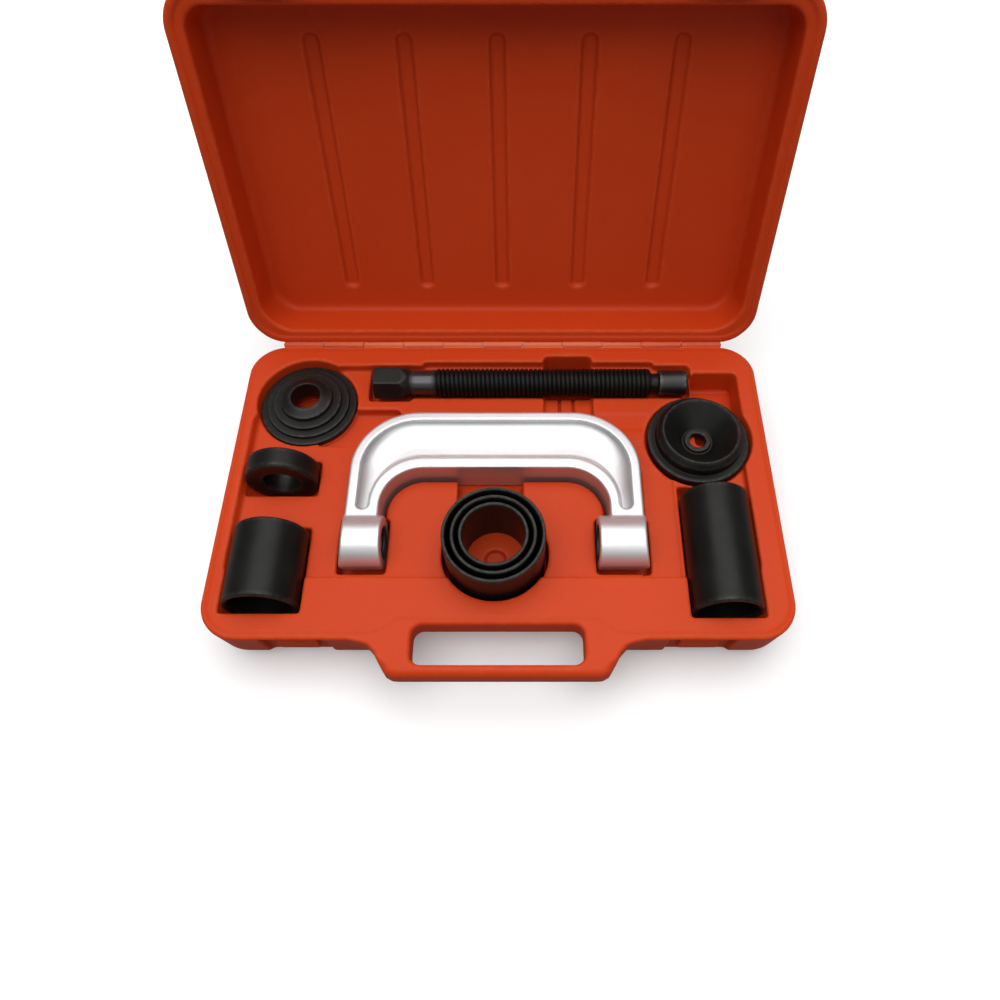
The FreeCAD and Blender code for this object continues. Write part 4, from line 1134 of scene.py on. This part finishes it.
def build_snap_ring():
    """Round wire bent into a ring, with a gap of 20 degrees."""
    rows, segments = 90, 14
    ring_radius, wire_radius, half_gap = 7.3, 0.93, 10
    bend = np.linspace(math.radians(-90 + half_gap), math.radians(270 - half_gap), rows)
    bend, around = np.meshgrid(bend, full_turn(segments), indexing="ij")
    radius = ring_radius + wire_radius * np.cos(around)
    points = np.stack([RING_X + wire_radius * np.sin(around), SCREW_Y + radius * np.cos(bend),
                       SCREW_Z + radius * np.sin(bend)], -1).reshape(-1, 3)
    none = np.zeros(len(points))
    masks = {"edge": none, "crease_shade": none, "arc": none, "ang": bend.ravel()}
    obj = new_object("tip_ring_wire", points, ring_quads(rows, segments), PIN_STEEL, masks)
    tidy(obj, cap=True, outward=True)
    register(obj, "screw", "tip_snap_ring")


def build_screw():
    head = field_object("forcing_screw_hexagon", hex_field,
                        low=(HEX_START, SCREW_Y - HEX_REACH, SCREW_Z - HEX_REACH),
                        high=(HEX_END, SCREW_Y + HEX_REACH, SCREW_Z + HEX_REACH),
                        step=0.45, material=OXIDE_FLAT, soft=1)
    register(head, "screw", "forcing_screw")
    build_shank()
    build_tip()
    build_snap_ring()


# ---------------------------------------------------------------------------
# tubes and adapters
# ---------------------------------------------------------------------------
# CAD node, body, axis (1: y, 2: z), bore radius, outer chamfer, bore chamfer
TUBES = [("receiving_tube_large", "tube_large", 2, 32.5, 0.5, 0.6),
         ("receiving_tube_medium", "tube_medium", 2, 26.6, 0.5, 0.6),
         ("receiving_tube_small", "tube_small", 2, 21.1, 0.5, 0.6),
         ("short_sleeve", "short_sleeve", 1, 13.0, 1.2, 1.2),
         ("installing_tube", "installing_tube", 1, 21.5, 1.2, 1.2),
         ("long_receiving_tube", "long_tube", 1, 20.0, 1.2, 1.2)]
# adapter profiles: radius, height, fillet
EDGE = 0.55
STEPPED = [(11.2, 36.0, 0.5), (36.8, 36.0, EDGE), (36.8, 40.5, EDGE), (31.6, 40.5, 0.4),
           (31.6, 43.2, EDGE), (26.0, 43.2, 0.4), (26.0, 46.4, EDGE), (19.7, 46.4, 0.4),
           (19.7, 49.9, 0.9), (12.1, 52.6, 0.8), (11.2, 52.6, 0.4)]
# heights above the seat
DISHED = [(6.2, 0.0, 0.4), (38.2, 0.0, EDGE), (38.2, 8, 0.8), (32.3, 8, 0.6), (32.3, 15.0, 0.9),
          (28.6, 19.5, 0.6), (27.5, 19.5, 0.5), (11.7, 3.6, 0.8), (10.3, 3.6, 0.4),
          (9.9, 6.0, 0.8), (6.2, 6.0, 0.6)]


def build_tube(node, body, axis, bore, chamfer, lead):
    low, high = cad_box(node)
    length = high[axis] - low[axis]
    across = (axis + 1) % 3
    outer = (high[across] - low[across]) / 2
    direction = [0, 0, 0]
    direction[axis] = 1
    origin = (low + high) / 2
    origin[axis] = low[axis]
    profile = [(bore, lead, 0.3), (bore + lead, 0, 0.2), (outer - chamfer, 0, 0.25),
               (outer, chamfer, 0.25), (outer, length - chamfer, 0.25),
               (outer - chamfer, length, 0.25), (bore + lead, length, 0.2),
               (bore, length - lead, 0.3)]
    obj = lathe(node + "_body", profile, origin, direction, OXIDE, segments=192, split=3.0)
    register(obj, body, node)


def build_adapter(name, profile, x, y):
    obj = lathe(name + "_body", profile, (x, y, 0), (0, 0, 1), OXIDE, segments=192, split=2.0)
    register(obj, name, name)


# ---------------------------------------------------------------------------
# floor, light, camera (metres)
# ---------------------------------------------------------------------------
def build_floor():
    mesh = bpy.data.meshes.new("floor")
    half = 6.0
    corners = [(-half, -half, 0), (half, -half, 0), (half, half, 0), (-half, half, 0)]
    mesh.from_pydata(corners, [], [(0, 1, 2, 3)])
    obj = bpy.data.objects.new("floor", mesh)
    bpy.context.scene.collection.objects.link(obj)
    # pale and glowing to the camera, darker in the light it sends back
    mat = Material("floor_pale")
    seen = mat.node("ShaderNodeLightPath").outputs["Is Camera Ray"]
    pale = mat.mix(mat.noise(scale=3, detail=3, rough=0.5), (0.93, 0.93, 0.93), (0.96, 0.96, 0.96))
    distance = mat.node("ShaderNodeVectorMath", operation="LENGTH")
    mat.feed(distance.inputs[0], mat.position)
    far = mat.math("DIVIDE", distance.outputs["Value"], 4.0)
    glow = mat.level(mat.ramp(far, start=0.12, end=0.60), span=0.85, low=0.12)
    mat.surface(Roughness=0.8, Base_Color=mat.mix(seen, (0.22, 0.22, 0.22), pale),
                Emission_Color=(1, 1, 1), Emission_Strength=mat.times(seen, glow))
    mesh.materials.append(mat.material)
    obj.location.z = -0.0003


def area_light(name, location, target, size, power):
    light = bpy.data.lights.new(name, "AREA")
    light.shape = "RECTANGLE"
    light.size, light.size_y = size
    light.energy = power
    light.color = (1, 1, 1)
    obj = bpy.data.objects.new(name, light)
    obj.location = location
    aim = Vector(target) - Vector(location)
    obj.rotation_euler = aim.to_track_quat("-Z", "Y").to_euler()
    bpy.context.scene.collection.objects.link(obj)


def build_world():
    """Soft sky, bright overhead and behind; reflections also see a bright front."""
    world = bpy.data.worlds.new("studio")
    bpy.context.scene.world = world
    world.use_nodes = True
    sky = Nodes(world.node_tree)
    rays = sky.node("ShaderNodeLightPath").outputs
    direction = sky.node("ShaderNodeSeparateXYZ")
    sky.feed(direction.inputs[0], sky.node("ShaderNodeTexCoord").outputs["Generated"])
    y, z = direction.outputs[1], direction.outputs[2]

    def positive(value):
        return sky.math("MAXIMUM", value, 0.0)

    def choose(mask, chosen, otherwise):
        return sky.plus(chosen, sky.times(sky.minus(1.0, mask), otherwise))

    lift = sky.plus(sky.times(z, 0.62), sky.times(y, 0.38))
    diffuse = sky.level(positive(lift), span=0.80, low=0.14)
    front = sky.times(positive(sky.times(y, -1.0)), positive(z))
    shine = sky.plus(sky.level(positive(lift), span=0.34, low=0.04), sky.times(front, 1.15))
    glossy, camera = rays["Is Glossy Ray"], rays["Is Camera Ray"]
    lighting = choose(glossy, sky.times(glossy, shine), diffuse)
    background = sky.node("ShaderNodeBackground")
    sky.put(background, Color=(1, 1, 1), Strength=choose(camera, camera, lighting))
    output = sky.node("ShaderNodeOutputWorld")
    sky.feed(output.inputs[0], background.outputs[0])


def build_camera():
    camera = bpy.data.cameras.new("camera")
    camera.sensor_width = 36.0
    camera.lens = 26.784
    camera.shift_x = -0.024
    camera.clip_start = 0.01
    obj = bpy.data.objects.new("camera", camera)
    obj.location = (0.0173, -0.2696, 0.519)
    obj.rotation_euler = (math.radians(28.0), 0, 0)
    scene = bpy.context.scene
    scene.collection.objects.link(obj)
    scene.camera = obj
    scene.view_settings.view_transform = "Standard"
    scene.view_settings.look = "None"


build_case()
build_frame()
build_screw()
for tube in TUBES:
    build_tube(*tube)
build_adapter("stepped_adapter", STEPPED, STEPPED_X, STEPPED_Y)
dished_profile = [(radius, ADAPTER_SEAT + height, fillet) for radius, height, fillet in DISHED]
build_adapter("dished_adapter", dished_profile, DISHED_X, DISHED_Y)

build_floor()
area_light("key", location=(-0.10, 0.08, 1.80), target=(0, 0.03, 0), size=(2.7, 2.2), power=33.5)
area_light("fill", location=(0.9, -1.4, 1.1), target=(0, 0, 0), size=(1.2, 1.0), power=1.5)
build_world()
build_camera()
